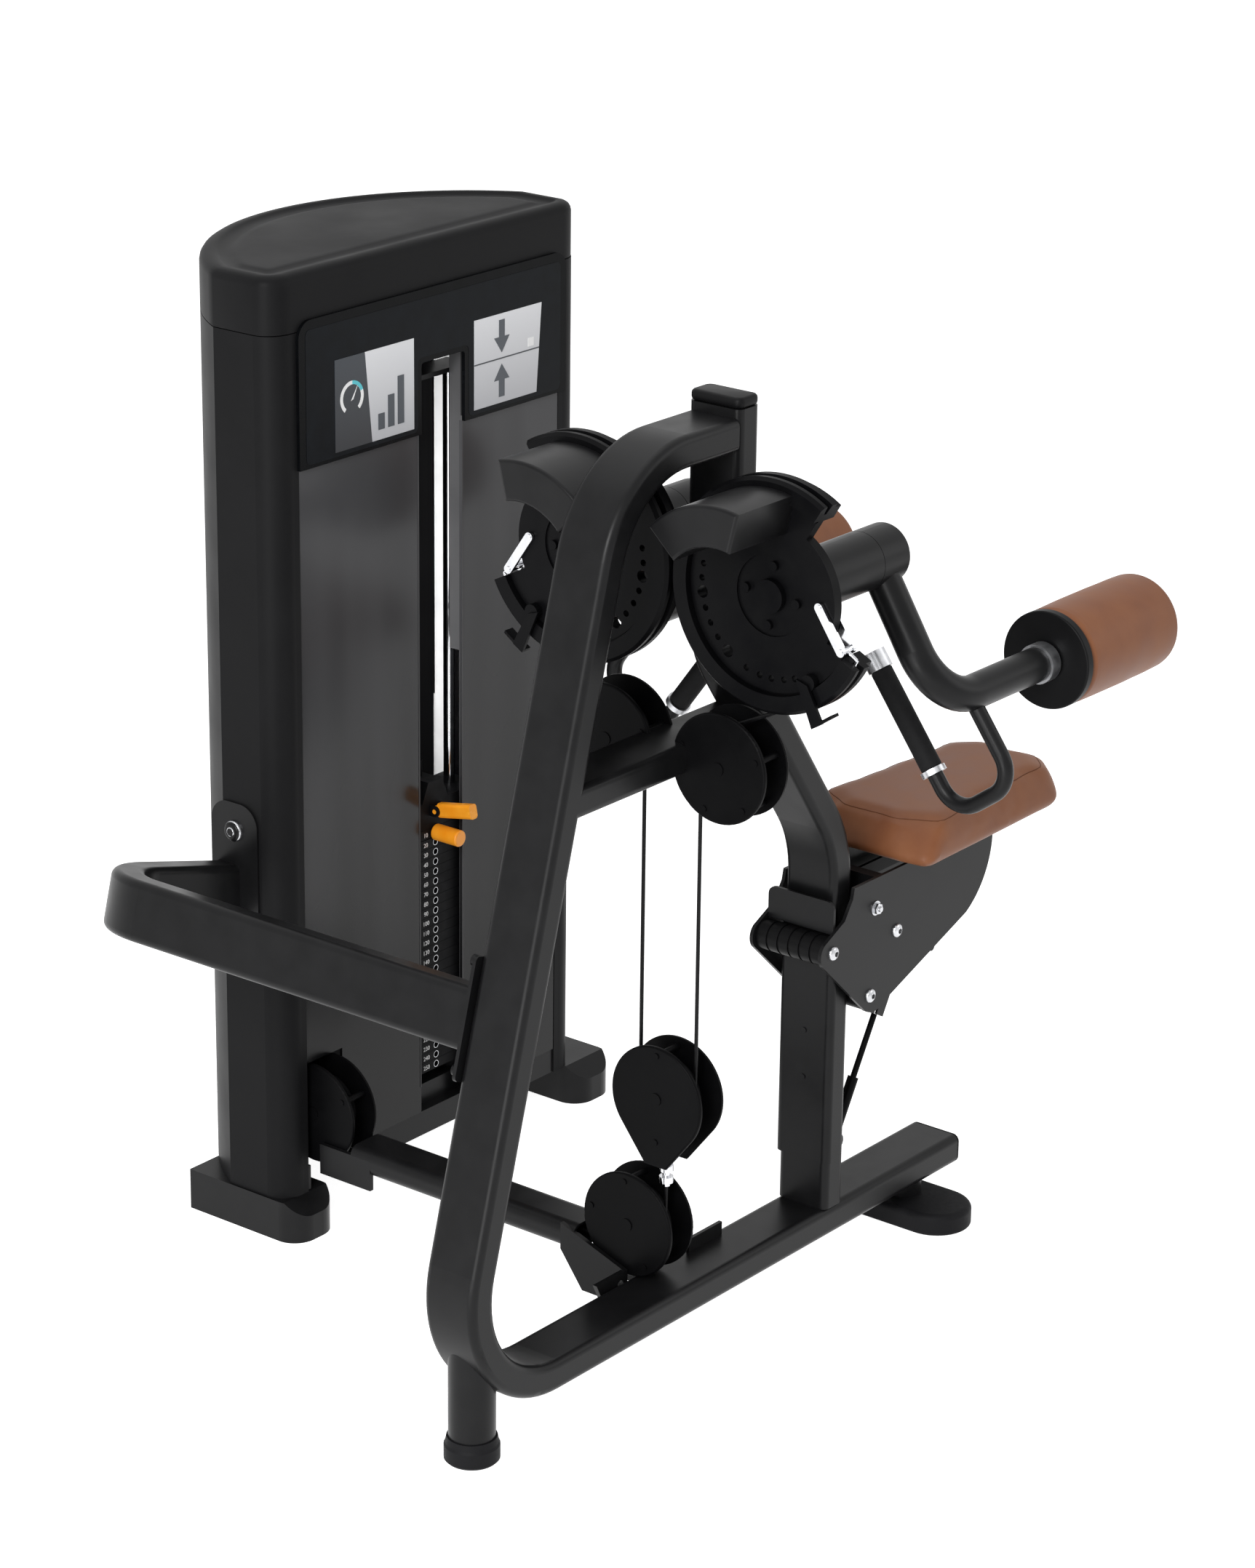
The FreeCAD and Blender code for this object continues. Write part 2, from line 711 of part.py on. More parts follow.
def pivot_bracket(column):
    """Two housings on webs that are welded to the post."""
    pieces = []
    for sign in (LEFT_SIGN, RIGHT_SIGN):
        ys = sorted((sign * (_half(TUBE_W) - TUBE_R), sign * PIVOT_Y))
        web = _box(WEB_X0, WEB_X1, ys[0], ys[1], PIVOT_Z - _half(WEB_H), PIVOT_Z + _half(WEB_H))
        housing = _rod_x(HOUSING_R, HOUSING_X0, HOUSING_X1, sign * PIVOT_Y, PIVOT_Z)
        bore = _rod_x(SHAFT_R + SHAFT_PLAY, HOUSING_X0 - CUT_OVERRUN, HOUSING_X1 + CUT_OVERRUN,
                      sign * PIVOT_Y, PIVOT_Z)
        pieces.append(_join([housing, web.cut(column)]).cut(bore))
    return _group(pieces)


# Arms, drawn for the near side and mirrored
def _along(start, end, distance):
    line = V(*end) - V(*start)
    spot = V(*start) + line.normalize() * distance
    return spot.x, spot.y, spot.z


def _handle_line():
    low = (HANDLE_X, HANDLE_K2[0], HANDLE_K2[1])
    high = (HANDLE_X, HANDLE_END[0], HANDLE_END[1])
    return low, high


def arm():
    shaft = _rod_x(SHAFT_R, SHAFT_X0, HUB_X1 - CUT_OVERRUN, -PIVOT_Y, PIVOT_Z)
    hub = _rod_x(HOUSING_R, HUB_X0, HUB_X1, -PIVOT_Y, PIVOT_Z)
    hub = _round_rims(hub, HUB_EDGE, lambda e: e.BoundBox.XMin > HUB_X1 - CABLE_CLEAR)
    tube = _round_sweep(ARM_R, _route([(ARM_X, -PIVOT_Y, PIVOT_Z), (ARM_X, -ELBOW_Y, ELBOW_Z),
                                       (ARM_END_X, -ELBOW_Y, ELBOW_Z)], [ELBOW_BEND_R]))
    axle = _rod_x(AXLE_R, ARM_END_X - CUT_OVERRUN, AXLE_END_X, -ELBOW_Y, ELBOW_Z)
    route = _route([(HANDLE_X,) + HANDLE_START, (HANDLE_X,) + HANDLE_K1, (HANDLE_X,) + HANDLE_K2,
                    (HANDLE_X,) + HANDLE_END], [HANDLE_BEND_R, HANDLE_BEND_R])
    handle = _round_sweep(HANDLE_R, route)
    return _join([shaft, hub, tube, axle, handle])


def grip():
    low, high = _handle_line()
    start = _along(low, high, GRIP_FROM)
    end = _along(low, high, GRIP_FROM + GRIP_L)
    sleeve = _rod(GRIP_R, start, end)
    sleeve = sleeve.makeFillet(GRIP_EDGE, sleeve.Edges[0:1] + sleeve.Edges[2:3])
    return sleeve.cut(_rod(HANDLE_R, _along(low, high, GRIP_FROM - CUT_OVERRUN),
                           _along(low, high, GRIP_FROM + GRIP_L + CUT_OVERRUN)))


def trims():
    """Collar at the roller and the two metal rings of the grip."""
    low, high = _handle_line()
    ring = _rod(RING_R, _along(low, high, GRIP_FROM - RING_T), _along(low, high, GRIP_FROM))
    ring = ring.cut(_rod(HANDLE_R, _along(low, high, GRIP_FROM - RING_T - CUT_OVERRUN),
                         _along(low, high, GRIP_FROM + CUT_OVERRUN)))
    top = (V(*high) - V(*low)).Length
    start = GRIP_FROM + GRIP_L
    cap = _rod(RING_R, _along(low, high, start), _along(low, high, top + CAP_T))
    cap = cap.cut(_rod(HANDLE_R, _along(low, high, start - CUT_OVERRUN), _along(low, high, top)))
    collar = _rod_x(COLLAR_R, COLLAR_X0, COLLAR_X1, -ELBOW_Y, ELBOW_Z)
    collar = collar.cut(_rod_x(ARM_R, COLLAR_X0 - CUT_OVERRUN, ARM_END_X, -ELBOW_Y, ELBOW_Z))
    collar = collar.cut(_rod_x(AXLE_R, ARM_END_X - CUT_OVERRUN, COLLAR_X1 + CUT_OVERRUN, -ELBOW_Y, ELBOW_Z))
    return _group([ring, cap, collar])


def roller():
    """Upholstered roller with a slight crown and round ends."""
    x1 = PAD_X0 + PAD_L
    middle = PAD_X0 + _half(PAD_L)
    side = PAD_R - PAD_CROWN
    bore = AXLE_R + AXLE_PLAY
    k = PAD_END_R * (1 - math.sqrt(0.5))
    p = [V(PAD_X0, bore, 0), V(PAD_X0, side - PAD_END_R, 0), V(PAD_X0 + k, side - k, 0),
         V(PAD_X0 + PAD_END_R, side, 0), V(middle, PAD_R, 0), V(x1 - PAD_END_R, side, 0),
         V(x1 - k, side - k, 0), V(x1, side - PAD_END_R, 0), V(x1, bore, 0)]
    wire = Part.Wire([Part.LineSegment(p[0], p[1]).toShape(), Part.Arc(p[1], p[2], p[3]).toShape(),
                      Part.Arc(p[3], p[4], p[5]).toShape(), Part.Arc(p[5], p[6], p[7]).toShape(),
                      Part.LineSegment(p[7], p[8]).toShape(), Part.LineSegment(p[8], p[0]).toShape()])
    pad = Part.Face(wire).revolve(V(0, 0, 0), V(1, 0, 0), 360)
    pad.translate(V(0, -ELBOW_Y, ELBOW_Z))
    return pad


def roller_caps():
    """Disc at the arm side of the roller and button at its outer end."""
    x1 = PAD_X0 - PAD_CAP_T
    disc = _rod_x(PAD_CAP_R, x1, PAD_X0, -ELBOW_Y, ELBOW_Z)
    disc = _round_rims(disc, PAD_CROWN, lambda e: e.BoundBox.XMax < x1 + CABLE_CLEAR)
    x2 = PAD_X0 + PAD_L
    button = _rod_x(END_BUTTON_R, x2, x2 + END_BUTTON_T, -ELBOW_Y, ELBOW_Z)
    bore = _rod_x(AXLE_R + AXLE_PLAY, x1 - CUT_OVERRUN, x2 + END_BUTTON_T + CUT_OVERRUN, -ELBOW_Y, ELBOW_Z)
    return _group([disc.cut(bore), button.cut(bore)])


# Cams, drawn for the near side and mirrored
def _cam_turned(outline, start_deg, sweep_deg):
    """Turn an outline of radius and x about the near pivot."""
    face = _face([(x, -PIVOT_Y + r, PIVOT_Z) for r, x in outline])
    axis_point = V(0, -PIVOT_Y, PIVOT_Z)
    face.rotate(axis_point, V(1, 0, 0), start_deg)
    return face.revolve(axis_point, V(1, 0, 0), sweep_deg)


def _cam_spot(radius, degrees):
    dy, dz = _polar(radius, degrees)
    return -PIVOT_Y + dy, PIVOT_Z + dz


def cam():
    groove = CAM_CABLE_R - CABLE_R - CABLE_CLEAR
    rim = [(CAM_SEAM_R1, CAM_X0), (CAM_R - CAM_EDGE, CAM_X0), (CAM_R, CAM_X0 + CAM_EDGE),
           (CAM_R, CAM_FLANGE_X0), (groove, CABLE_X - CABLE_R), (groove, CABLE_X + CABLE_R),
           (CAM_R, CAM_FLANGE_X1), (CAM_R, CAM_FLANGE_X2), (CAM_BACK_R, CAM_FLANGE_X2),
           (CAM_BACK_R, CAM_X1), (CAM_SEAM_R0, CAM_X1), (CAM_SEAM_R0, CAM_PLATE_X1),
           (CAM_PLATE_R - CAM_HUB_R, CAM_PLATE_X1), (CAM_PLATE_R - CAM_HUB_R, CAM_PLATE_X0),
           (CAM_SEAM_R0, CAM_PLATE_X0), (CAM_SEAM_R0, CAM_PLATE_X0 + CAM_SEAM_DEPTH),
           (CAM_SEAM_R1, CAM_PLATE_X0 + CAM_SEAM_DEPTH)]
    sweep = CAM_RIM_TO_DEG - CAM_RIM_FROM_DEG
    wheel = _cam_turned(rim, CAM_RIM_FROM_DEG, sweep)
    disc = _rod_x(CAM_PLATE_R, CAM_PLATE_X0, CAM_PLATE_X1, -PIVOT_Y, PIVOT_Z)
    hub = _rod_x(CAM_HUB_R, CAM_PLATE_X1, CAM_X1, -PIVOT_Y, PIVOT_Z)
    body = _join([wheel, disc, hub])
    recess = _rod_x(CAM_RECESS_R, CAM_PLATE_X0 - CUT_OVERRUN, CAM_PLATE_X0 + CAM_RECESS_D, -PIVOT_Y, PIVOT_Z)
    body = body.cut(recess)
    adds = [_rod_x(CAM_BOSS_R, CAM_BOSS_X, CAM_PLATE_X1, -PIVOT_Y, PIVOT_Z)]
    for angle in CAM_BOLT_DEGS:
        y, z = _cam_spot(CAM_BOLT_RING_R, angle)
        x = CAM_PLATE_X0 + CAM_RECESS_D
        adds.append(_rod_x(CAM_BOLT_R, x - CAM_BOLT_H, x + CAM_RECESS_D, y, z))
    y, z = _cam_spot(STOP_RING_R, STOP_DEG)
    adds.append(_rod_x(STOP_R, STOP_X0, CAM_PLATE_X1, y, z))
    bar = [(-PIVOT_Y + dy, PIVOT_Z + dz) for dy, dz in STOP_BAR]
    adds.append(_prism_x(bar, STOP_X0 - STOP_BAR_T, STOP_X0))
    lip = [(-PIVOT_Y + dy, PIVOT_Z + dz) for dy, dz in STOP_LIP]
    adds.append(_prism_x(lip, STOP_X0 - STOP_BAR_T, STOP_X0 - STOP_BAR_T + STOP_LIP_T))
    body = _join([body] + adds)
    cuts = [_rod_x(SHAFT_R, SHAFT_X0, CAM_X1 + CUT_OVERRUN, -PIVOT_Y, PIVOT_Z)]
    for radius, angles in ((CAM_HOLE_R, CAM_HOLE_DEGS), (CAM_HOLE_BIG_R, CAM_BIG_HOLE_DEGS)):
        for angle in angles:
            y, z = _cam_spot(CAM_HOLE_RING_R, angle)
            cuts.append(_rod_x(radius, CAM_PLATE_X0 - CUT_OVERRUN, CAM_PLATE_X1 + CUT_OVERRUN, y, z))
    y, z = _cam_spot(END_PIN_R, END_PIN_DEG)
    cuts.append(_rod_x(END_PIN_RAD, CAM_PLATE_X0 - CUT_OVERRUN, CAM_PLATE_X1 + CUT_OVERRUN, y, z))
    return body.cut(cuts[0]).cut(Part.makeCompound(cuts[1:]))


def counterweight():
    outline = [(WEIGHT_R0, WEIGHT_X0), (WEIGHT_R1, WEIGHT_X0), (WEIGHT_R1, CAM_X0), (CAM_SEAM_R1, CAM_X0),
               (CAM_SEAM_R1, CAM_PLATE_X0 + CAM_SEAM_DEPTH), (CAM_SEAM_R0, CAM_PLATE_X0 + CAM_SEAM_DEPTH),
               (CAM_SEAM_R0, CAM_PLATE_X0), (WEIGHT_R0, CAM_PLATE_X0)]
    body = _cam_turned(outline, WEIGHT_FROM_DEG, WEIGHT_TO_DEG - WEIGHT_FROM_DEG)
    return _round_rims(body, WEIGHT_EDGE, lambda e: e.BoundBox.XMax < WEIGHT_X0 + CABLE_CLEAR)


def _bar(start, end, width, x0, x1):
    """Flat link between two spots in the plane of the cables."""
    line = V(0, end[0] - start[0], end[1] - start[1])
    side = V(0, -line.z, line.y).normalize() * _half(width)
    corners = [(start[0] + side.y, start[1] + side.z), (end[0] + side.y, end[1] + side.z),
               (end[0] - side.y, end[1] - side.z), (start[0] - side.y, start[1] - side.z)]
    ends = [_rod_x(_half(width), x0, x1, spot[0], spot[1]) for spot in (start, end)]
    return _join([_prism_x(corners, x0, x1)] + ends)


def _arc_cable(centre, radius, a0, a1):
    """Cable along an arc in its plane, between two angles."""
    y0, z0 = _polar(radius, a0)
    ring = Part.Wire(Part.makeCircle(CABLE_R, V(CABLE_X, centre[0] + y0, centre[1] + z0),
                                     V(0, -z0, y0)))
    sign = 1 if a1 > a0 else -1
    return Part.Face(ring).revolve(V(CABLE_X, centre[0], centre[1]), V(sign, 0, 0), abs(a1 - a0))


def _cam_tangent():
    """Angles of the straight run between the near cam and its wheel."""
    dy = -upper_wheel_y() + PIVOT_Y
    dz = UPPER_WHEEL_Z - PIVOT_Z
    tilt = math.degrees(math.asin((CAM_CABLE_R + WHEEL_R) / math.hypot(dy, dz)))
    way = math.degrees(math.atan2(dz, dy)) + tilt
    return way - 90, way + 90


def cable_end():
    """Clevis of two bars on the cam plate with the cable in the groove."""
    pin = _cam_spot(END_PIN_R, END_PIN_DEG)
    tip = _cam_spot(END_TIP_R, END_TIP_DEG)
    front = CAM_PLATE_X0 - END_BAR_GAP
    back = CAM_PLATE_X1 + END_BAR_GAP
    bars = [_bar(pin, tip, END_BAR_W, front - END_BAR_T, front), _bar(pin, tip, END_BAR_W, back, back + END_BAR_T)]
    pins = [_rod_x(END_PIN_RAD, front - END_BAR_T - GUARD_BOLT_H, back + END_BAR_T + GUARD_BOLT_H, *pin),
            _rod_x(END_PIN_RAD, front - END_BAR_T - GUARD_BOLT_H, back + END_BAR_T + GUARD_BOLT_H, *tip)]
    on_cam = _cam_tangent()[0]
    start = _cam_spot(CAM_CABLE_R, CAM_RIM_FROM_DEG - CABLE_LEAD_DEG)
    tail = _rod(CABLE_R, (CABLE_X, tip[0], tip[1]), (CABLE_X, start[0], start[1]))
    wrap = _arc_cable((-PIVOT_Y, PIVOT_Z), CAM_CABLE_R, CAM_RIM_FROM_DEG - CABLE_LEAD_DEG, on_cam)
    return _join(bars + pins + [tail, wrap])


def _near_top_cable():
    on_cam, on_wheel = _cam_tangent()
    start = _cam_spot(CAM_CABLE_R, on_cam)
    dy, dz = _polar(WHEEL_R, on_wheel)
    end = (-upper_wheel_y() + dy, UPPER_WHEEL_Z + dz)
    line = _rod(CABLE_R, (CABLE_X,) + start, (CABLE_X,) + end)
    bend = _arc_cable((-upper_wheel_y(), UPPER_WHEEL_Z), WHEEL_R, on_wheel, 0)
    return _join([line, bend])


def cables_fixed():
    """Runs that keep their place: cam to upper wheels, and link to tower top."""
    near = _near_top_cable()
    low = LOW_WHEEL_Z - WHEEL_R
    rise = TOWER_WHEEL_Y + WHEEL_R
    top = TOP_WHEEL_Z + WHEEL_R
    wire = _route([(CABLE_X, 0, LOW_WHEEL_Z), (CABLE_X, 0, low), (CABLE_X, rise, low), (CABLE_X, rise, top),
                   (STACK_X, rise, top), (STACK_X, rise, TOP_WHEEL_Z)],
                  [WHEEL_R, WHEEL_R, WHEEL_R, WHEEL_R])
    first = wire.OrderedEdges[0]
    start = first.valueAt(first.FirstParameter)
    way = first.tangentAt(first.FirstParameter)
    link = _swept(Part.Wire(Part.makeCircle(CABLE_R, start, way)), wire)
    return _group([near, _mirror(near), link])


def cables_drop():
    near = _rod_z(CABLE_R, CABLE_X, -WHEEL_R, FLOAT_Z, UPPER_WHEEL_Z)
    near.translate(V(0, WHEEL_R - upper_wheel_y() + WHEEL_R, 0))
    return _group([near, _mirror(near)])


def cable_riser():
    return _rod_z(CABLE_R, CABLE_X, 0, LOW_WHEEL_Z, CONNECTOR_END_Z)


def cable_stack():
    return _rod_z(CABLE_R, STACK_X, TOWER_WHEEL_Y + WHEEL_R, STACK_END_Z, TOP_WHEEL_Z)


# Wheels and guards
def _float_cable_r():
    return upper_wheel_y() - WHEEL_R


def _wheel(cable_r, y, z):
    half = _half(WHEEL_T)
    rim = cable_r + WHEEL_FLANGE
    groove = cable_r - CABLE_R - CABLE_CLEAR
    outline = [(WHEEL_BORE_R, -half), (rim, -half), (rim, -CABLE_R - CABLE_CLEAR), (groove, -CABLE_CLEAR),
               (groove, CABLE_CLEAR), (rim, CABLE_R + CABLE_CLEAR), (rim, half), (WHEEL_BORE_R, half)]
    groove_w = CABLE_R + CABLE_CLEAR
    outline[2:6] = [(rim, -groove_w), (groove, -groove_w), (groove, groove_w), (rim, groove_w)]
    face = _face([(CABLE_X + x, r, 0) for r, x in outline])
    wheel = face.revolve(V(0, 0, 0), V(1, 0, 0), 360)
    wheel.translate(V(0, y, z))
    return wheel


def _guard_pair(y, z, rivets, outline=None):
    """Two plates beside a wheel, with rivets between them."""
    plates = []
    for x0 in (GUARD_X0, GUARD_X1):
        if outline:
            plate = outline(x0)
        else:
            plate = _rod_x(GUARD_R, x0, x0 + GUARD_T, y, z)
        face_x = x0 if x0 == GUARD_X0 else x0 + GUARD_T
        plate = _round_rims(plate, GUARD_EDGE, lambda e: abs(e.BoundBox.XMin - face_x) < CABLE_CLEAR
                            and abs(e.BoundBox.XMax - face_x) < CABLE_CLEAR)
        plates.append(plate)
    for angle in rivets:
        dy, dz = _polar(RIVET_RING_R, angle)
        plates.append(_rod_x(RIVET_R, GUARD_X0 - GUARD_BOLT_H, GUARD_X1 + GUARD_T + GUARD_BOLT_H, y + dy, z + dz))
    return plates


def _bolted_guard(y, z, rivets, axle_from, axle_to):
    head = _rod_x(GUARD_BOLT_R, GUARD_X0 - GUARD_BOLT_H, GUARD_X0 + GUARD_T, y, z)
    whole = _join(_guard_pair(y, z, rivets) + [head])
    return whole.cut(_rod_x(AXLE_BOLT_R, axle_from, axle_to, y, z))


def pulley_guards(bar):
    far = GUARD_X1 + GUARD_T + CUT_OVERRUN
    near = GUARD_X0 + GUARD_T
    upper = _bolted_guard(-upper_wheel_y(), UPPER_WHEEL_Z, UPPER_RIVET_DEGS, near, far).cut(bar)
    low = _bolted_guard(WHEEL_R, LOW_WHEEL_Z, LOW_RIVET_DEGS, near, far)
    tower = _bolted_guard(TOWER_WHEEL_Y, LOW_WHEEL_Z, TOWER_RIVET_DEGS, near, far)
    return _group([upper, _mirror(upper), low, tower])


def _float_outline(x0):
    disc = _rod_x(GUARD_R, x0, x0 + GUARD_T, 0, FLOAT_Z)
    reach = math.hypot(FLOAT_TAB_Y, FLOAT_TAB_DROP)
    tab = math.degrees(math.atan2(-FLOAT_TAB_DROP, FLOAT_TAB_Y))
    sy, sz = _polar(GUARD_R, tab + math.degrees(math.acos(GUARD_R / reach)))
    points = [(-sy, FLOAT_Z + sz), (sy, FLOAT_Z + sz), (FLOAT_TAB_Y, FLOAT_Z - FLOAT_TAB_DROP),
              (-FLOAT_TAB_Y, FLOAT_Z - FLOAT_TAB_DROP)]
    return _join([disc, _prism_x(points, x0, x0 + GUARD_T)])


def float_plates():
    plates = _guard_pair(0, FLOAT_Z, FLOAT_RIVET_DEGS, _float_outline)
    heads = [_rod_x(GUARD_BOLT_R, GUARD_X0 - GUARD_BOLT_H, GUARD_X0 + GUARD_T, 0, FLOAT_Z),
             _rod_x(AXLE_BOLT_R, GUARD_X0, GUARD_X1 + GUARD_T, 0, FLOAT_Z)]
    return _join(plates + heads)


def float_connector():
    """Lug, threaded rod and nuts under the floating wheel, with the cable around it."""
    top = FLOAT_Z - CONN_LUG_TOP
    low = FLOAT_Z - FLOAT_TAB_DROP
    lug = _box(GUARD_X0 + GUARD_T, GUARD_X1, -CONN_LUG_Y, CONN_LUG_Y, low, top)
    rod = _rod_z(CONN_ROD_R, CABLE_X, 0, CONNECTOR_END_Z, low)
    nuts = [_rod_z(CONN_NUT_R, CABLE_X, 0, z, z + CONN_NUT_H) for z in CONN_NUTS_Z]
    wrap = _arc_cable((0, FLOAT_Z), _float_cable_r(), 180, 360)
    return _group([_join([lug, rod] + nuts), wrap])


def upper_wheel():
    return _wheel(WHEEL_R, -upper_wheel_y(), UPPER_WHEEL_Z)


def top_wheel(x):
    wheel = _wheel(WHEEL_R, 0, 0)
    wheel.translate(V(-CABLE_X, 0, 0))
    wheel.rotate(V(0, 0, 0), V(0, 0, 1), 90)
    wheel.translate(V(x, TOWER_WHEEL_Y + WHEEL_R, TOP_WHEEL_Z))
    return wheel


# Low bracket, link tube and guard rail
def link_bracket():
    """Plates on the base tube that hold the low wheel and the link tube."""
    side = _half(TUBE_W)
    link_z = LOW_WHEEL_Z - WHEEL_R
    low = link_z - _half(LINK_H)
    high = link_z + _half(LINK_H)
    x0 = CABLE_X - _half(LINK_W)
    x1 = CABLE_X + _half(LINK_W)
    tube = _soften(_box(x0, x1, LINK_Y0, LINK_Y1, low, high), _half(LINK_H) - LINK_WALL, (0, 1, 0))
    inner = _soften(_box(x0 + LINK_WALL, x1 - LINK_WALL, LINK_Y0 - CUT_OVERRUN, LINK_Y1 + CUT_OVERRUN,
                         low + LINK_WALL, high - LINK_WALL), _half(LINK_H) - LINK_WALL - LINK_WALL, (0, 1, 0))
    back = _prism_x([(side, BRACKET_LOW_Z), (side, LOW_WHEEL_Z), (BRACKET_TOP_Y - TUBE_R - TUBE_R, BRACKET_TOP_Z),
                     (BRACKET_TOP_Y, BRACKET_TOP_Z), (GUSSET_END_Y, high), (GUSSET_END_Y, low),
                     (GUSSET_END_Y - LINK_H, BRACKET_LOW_Z)], BRACKET_X0, BRACKET_X0 + BRACKET_T)
    gusset_y = side
    gusset = _prism_y([(GUSSET_FRONT_X, GUSSET_TOP_Z), (GUSSET_FOOT_X, GUSSET_LOW_Z),
                       (x0 + GUSSET_T, GUSSET_LOW_Z), (x0 + GUSSET_T, GUSSET_TOP_Z)], gusset_y, gusset_y + GUSSET_T)
    gusset = gusset.cut(_rod_y(GUSSET_HOLE_R, GUSSET_HOLE_X, 0, LINK_Y0, GUSSET_HOLE_Z))
    cheek = _prism_x([(side, GUSSET_LOW_Z), (side, GUSSET_TOP_Z), (GUSSET_END_Y, high), (GUSSET_END_Y, low),
                      (GUSSET_END_Y - LINK_H, GUSSET_LOW_Z)], x0, x0 + GUSSET_T)
    axle = _rod_x(AXLE_BOLT_R, GUARD_X0 + GUARD_T, BRACKET_X0 + BRACKET_T, WHEEL_R, LOW_WHEEL_Z)
    ends = []
    hanger_y = TOWER_WHEEL_Y - _half(WHEEL_HANGER_W)
    for edge in (x0, x1 - LINK_CHEEK_T):
        ends.append(_box(edge, edge + LINK_CHEEK_T, LINK_CHEEK_Y0, hanger_y, LINK_CHEEK_LOW_Z, LINK_CHEEK_TOP_Z))
    body = _join([tube, back, cheek, gusset, axle]).cut(inner)
    body = _join([body] + [end.cut(inner) for end in ends])
    tab = _box(TAB_X0, TAB_X1, TAB_Y - TAB_T, TAB_Y, BASE_Z + _half(TUBE_T), BASE_Z + _half(TUBE_T) + TAB_H)
    return _group([body, tab])


def _rail_tube():
    """Tube of the rail with a vertical section, before it takes the lean of the leg."""
    start_y = _half(TUBE_W) + _half(FLANGE_T)
    reach = STACK_X - _leg_point(RAIL_Z)
    wire = _route([(-RAIL_BACK, start_y, 0), (-RAIL_BACK - RAIL_SPLAY, RAIL_FAR_Y, 0), (reach, RAIL_FAR_Y, 0)],
                  [RAIL_BEND_R])
    high = _half(TUBE_W)
    thick = _half(RAIL_T)
    block = _box(-RAIL_BACK - thick, -RAIL_BACK + thick, start_y, start_y + RAIL_T, -high, high)
    block = _soften(block, TUBE_R, (0, 1, 0))
    section = [face for face in block.Faces if face.BoundBox.YMax < start_y + CABLE_CLEAR][0]
    return _swept(section.OuterWire, wire)


def guard_rail():
    """Tube from the leg around to the side of the tower, with a flange and a lug."""
    wall = _tower_x(-TOWER_HALF)
    lean = _leg_point(RAIL_Z)
    rail = _rail_tube()
    rail.translate(V(lean, 0, RAIL_Z))
    rail.rotate(V(lean, 0, RAIL_Z), V(0, 1, 0), LEG_LEAN_DEG)
    rail = rail.cut(_box(wall - RAIL_LUG_T, STACK_X + TOWER_HALF, 0, TOWER_APEX_Y, 0, TOP_TUBE_Z))
    lug = _box(wall - RAIL_LUG_T, wall, RAIL_LUG_Y0, RAIL_LUG_Y1, RAIL_LUG_Z0, RAIL_LUG_Z1)
    lug = _soften(lug, RAIL_LUG_R, (1, 0, 0))
    button = _rod_x(RAIL_BOLT_R, wall - RAIL_LUG_T - RAIL_BOLT_H, wall - RAIL_LUG_T, RAIL_BOLT_Y, RAIL_BOLT_Z)
    button = _round_rims(button, RAIL_BOLT_H - GUARD_BOLT_H,
                         lambda e: e.BoundBox.XMax < wall - RAIL_LUG_T - RAIL_BOLT_H + CABLE_CLEAR)
    z_mid = _half(FLANGE_Z0 + FLANGE_Z1)
    lean = _leg_point(z_mid)
    side = _half(TUBE_W)
    flange = _box(lean - FLANGE_HALF, lean + FLANGE_HALF, side, side + FLANGE_T, FLANGE_Z0, FLANGE_Z1)
    flange = _soften(flange, FLANGE_R, (0, 1, 0))
    flange.rotate(V(lean, 0, z_mid), V(0, 1, 0), LEG_LEAN_DEG)
    bolts = []
    for z in FLANGE_BOLTS_Z:
        bolts.append(_rod_y(BOLT_R, _leg_point(z), side + FLANGE_T, side + FLANGE_T + BOLT_H, z))
    return _join([rail, lug, button, flange] + bolts)


# Seat column fittings
def seat_rack(column):
    """Notched bar on the back of the column and the lug of the strut."""
    face_x = COLUMN_X + _half(TUBE_T)
    bar = _box(face_x, face_x + RACK_PROUD, -_half(RACK_T), _half(RACK_T), RACK_Z0, RACK_Z1)
    for index in range(RACK_COUNT):
        z = RACK_Z0 + RACK_PITCH + index * RACK_PITCH
        bar = bar.cut(_box(face_x + RACK_NOTCH_D, face_x + RACK_PROUD + CUT_OVERRUN, -RACK_T, RACK_T,
                           z - _half(RACK_NOTCH_H), z + _half(RACK_NOTCH_H)))
    lugs = []
    for sign in (-1, 1):
        y0 = sign * LUG_GAP - _half(LUG_T)
        lug = _join([_rod_y(LUG_R, LUG_X, y0, y0 + LUG_T, LUG_Z),
                     _box(face_x, LUG_X, y0, y0 + LUG_T, LUG_Z - LUG_R, LUG_Z + LUG_R)])
        lugs.append(lug)
    return _group([bar] + lugs)


def column_sleeve(column):
    """Thin wear cover over the front and sides of the column."""
    half_w = _half(TUBE_W) + SLEEVE_T
    front = COLUMN_X - _half(TUBE_T) - SLEEVE_T
    back = COLUMN_X + SLEEVE_WRAP
    block = _box(front, back, -half_w, half_w, SLEEVE_Z0, SLEEVE_Z1)
    block = _round_rims(block, TUBE_R, lambda e: e.BoundBox.ZLength > TUBE_W and e.BoundBox.XMax < COLUMN_X)
    screws = [_rod(SLEEVE_SCREW_R, (front - GUARD_BOLT_H, 0, z), (COLUMN_X, 0, z)) for z in SLEEVE_SCREWS_Z]
    return _join([block] + screws).cut(column)


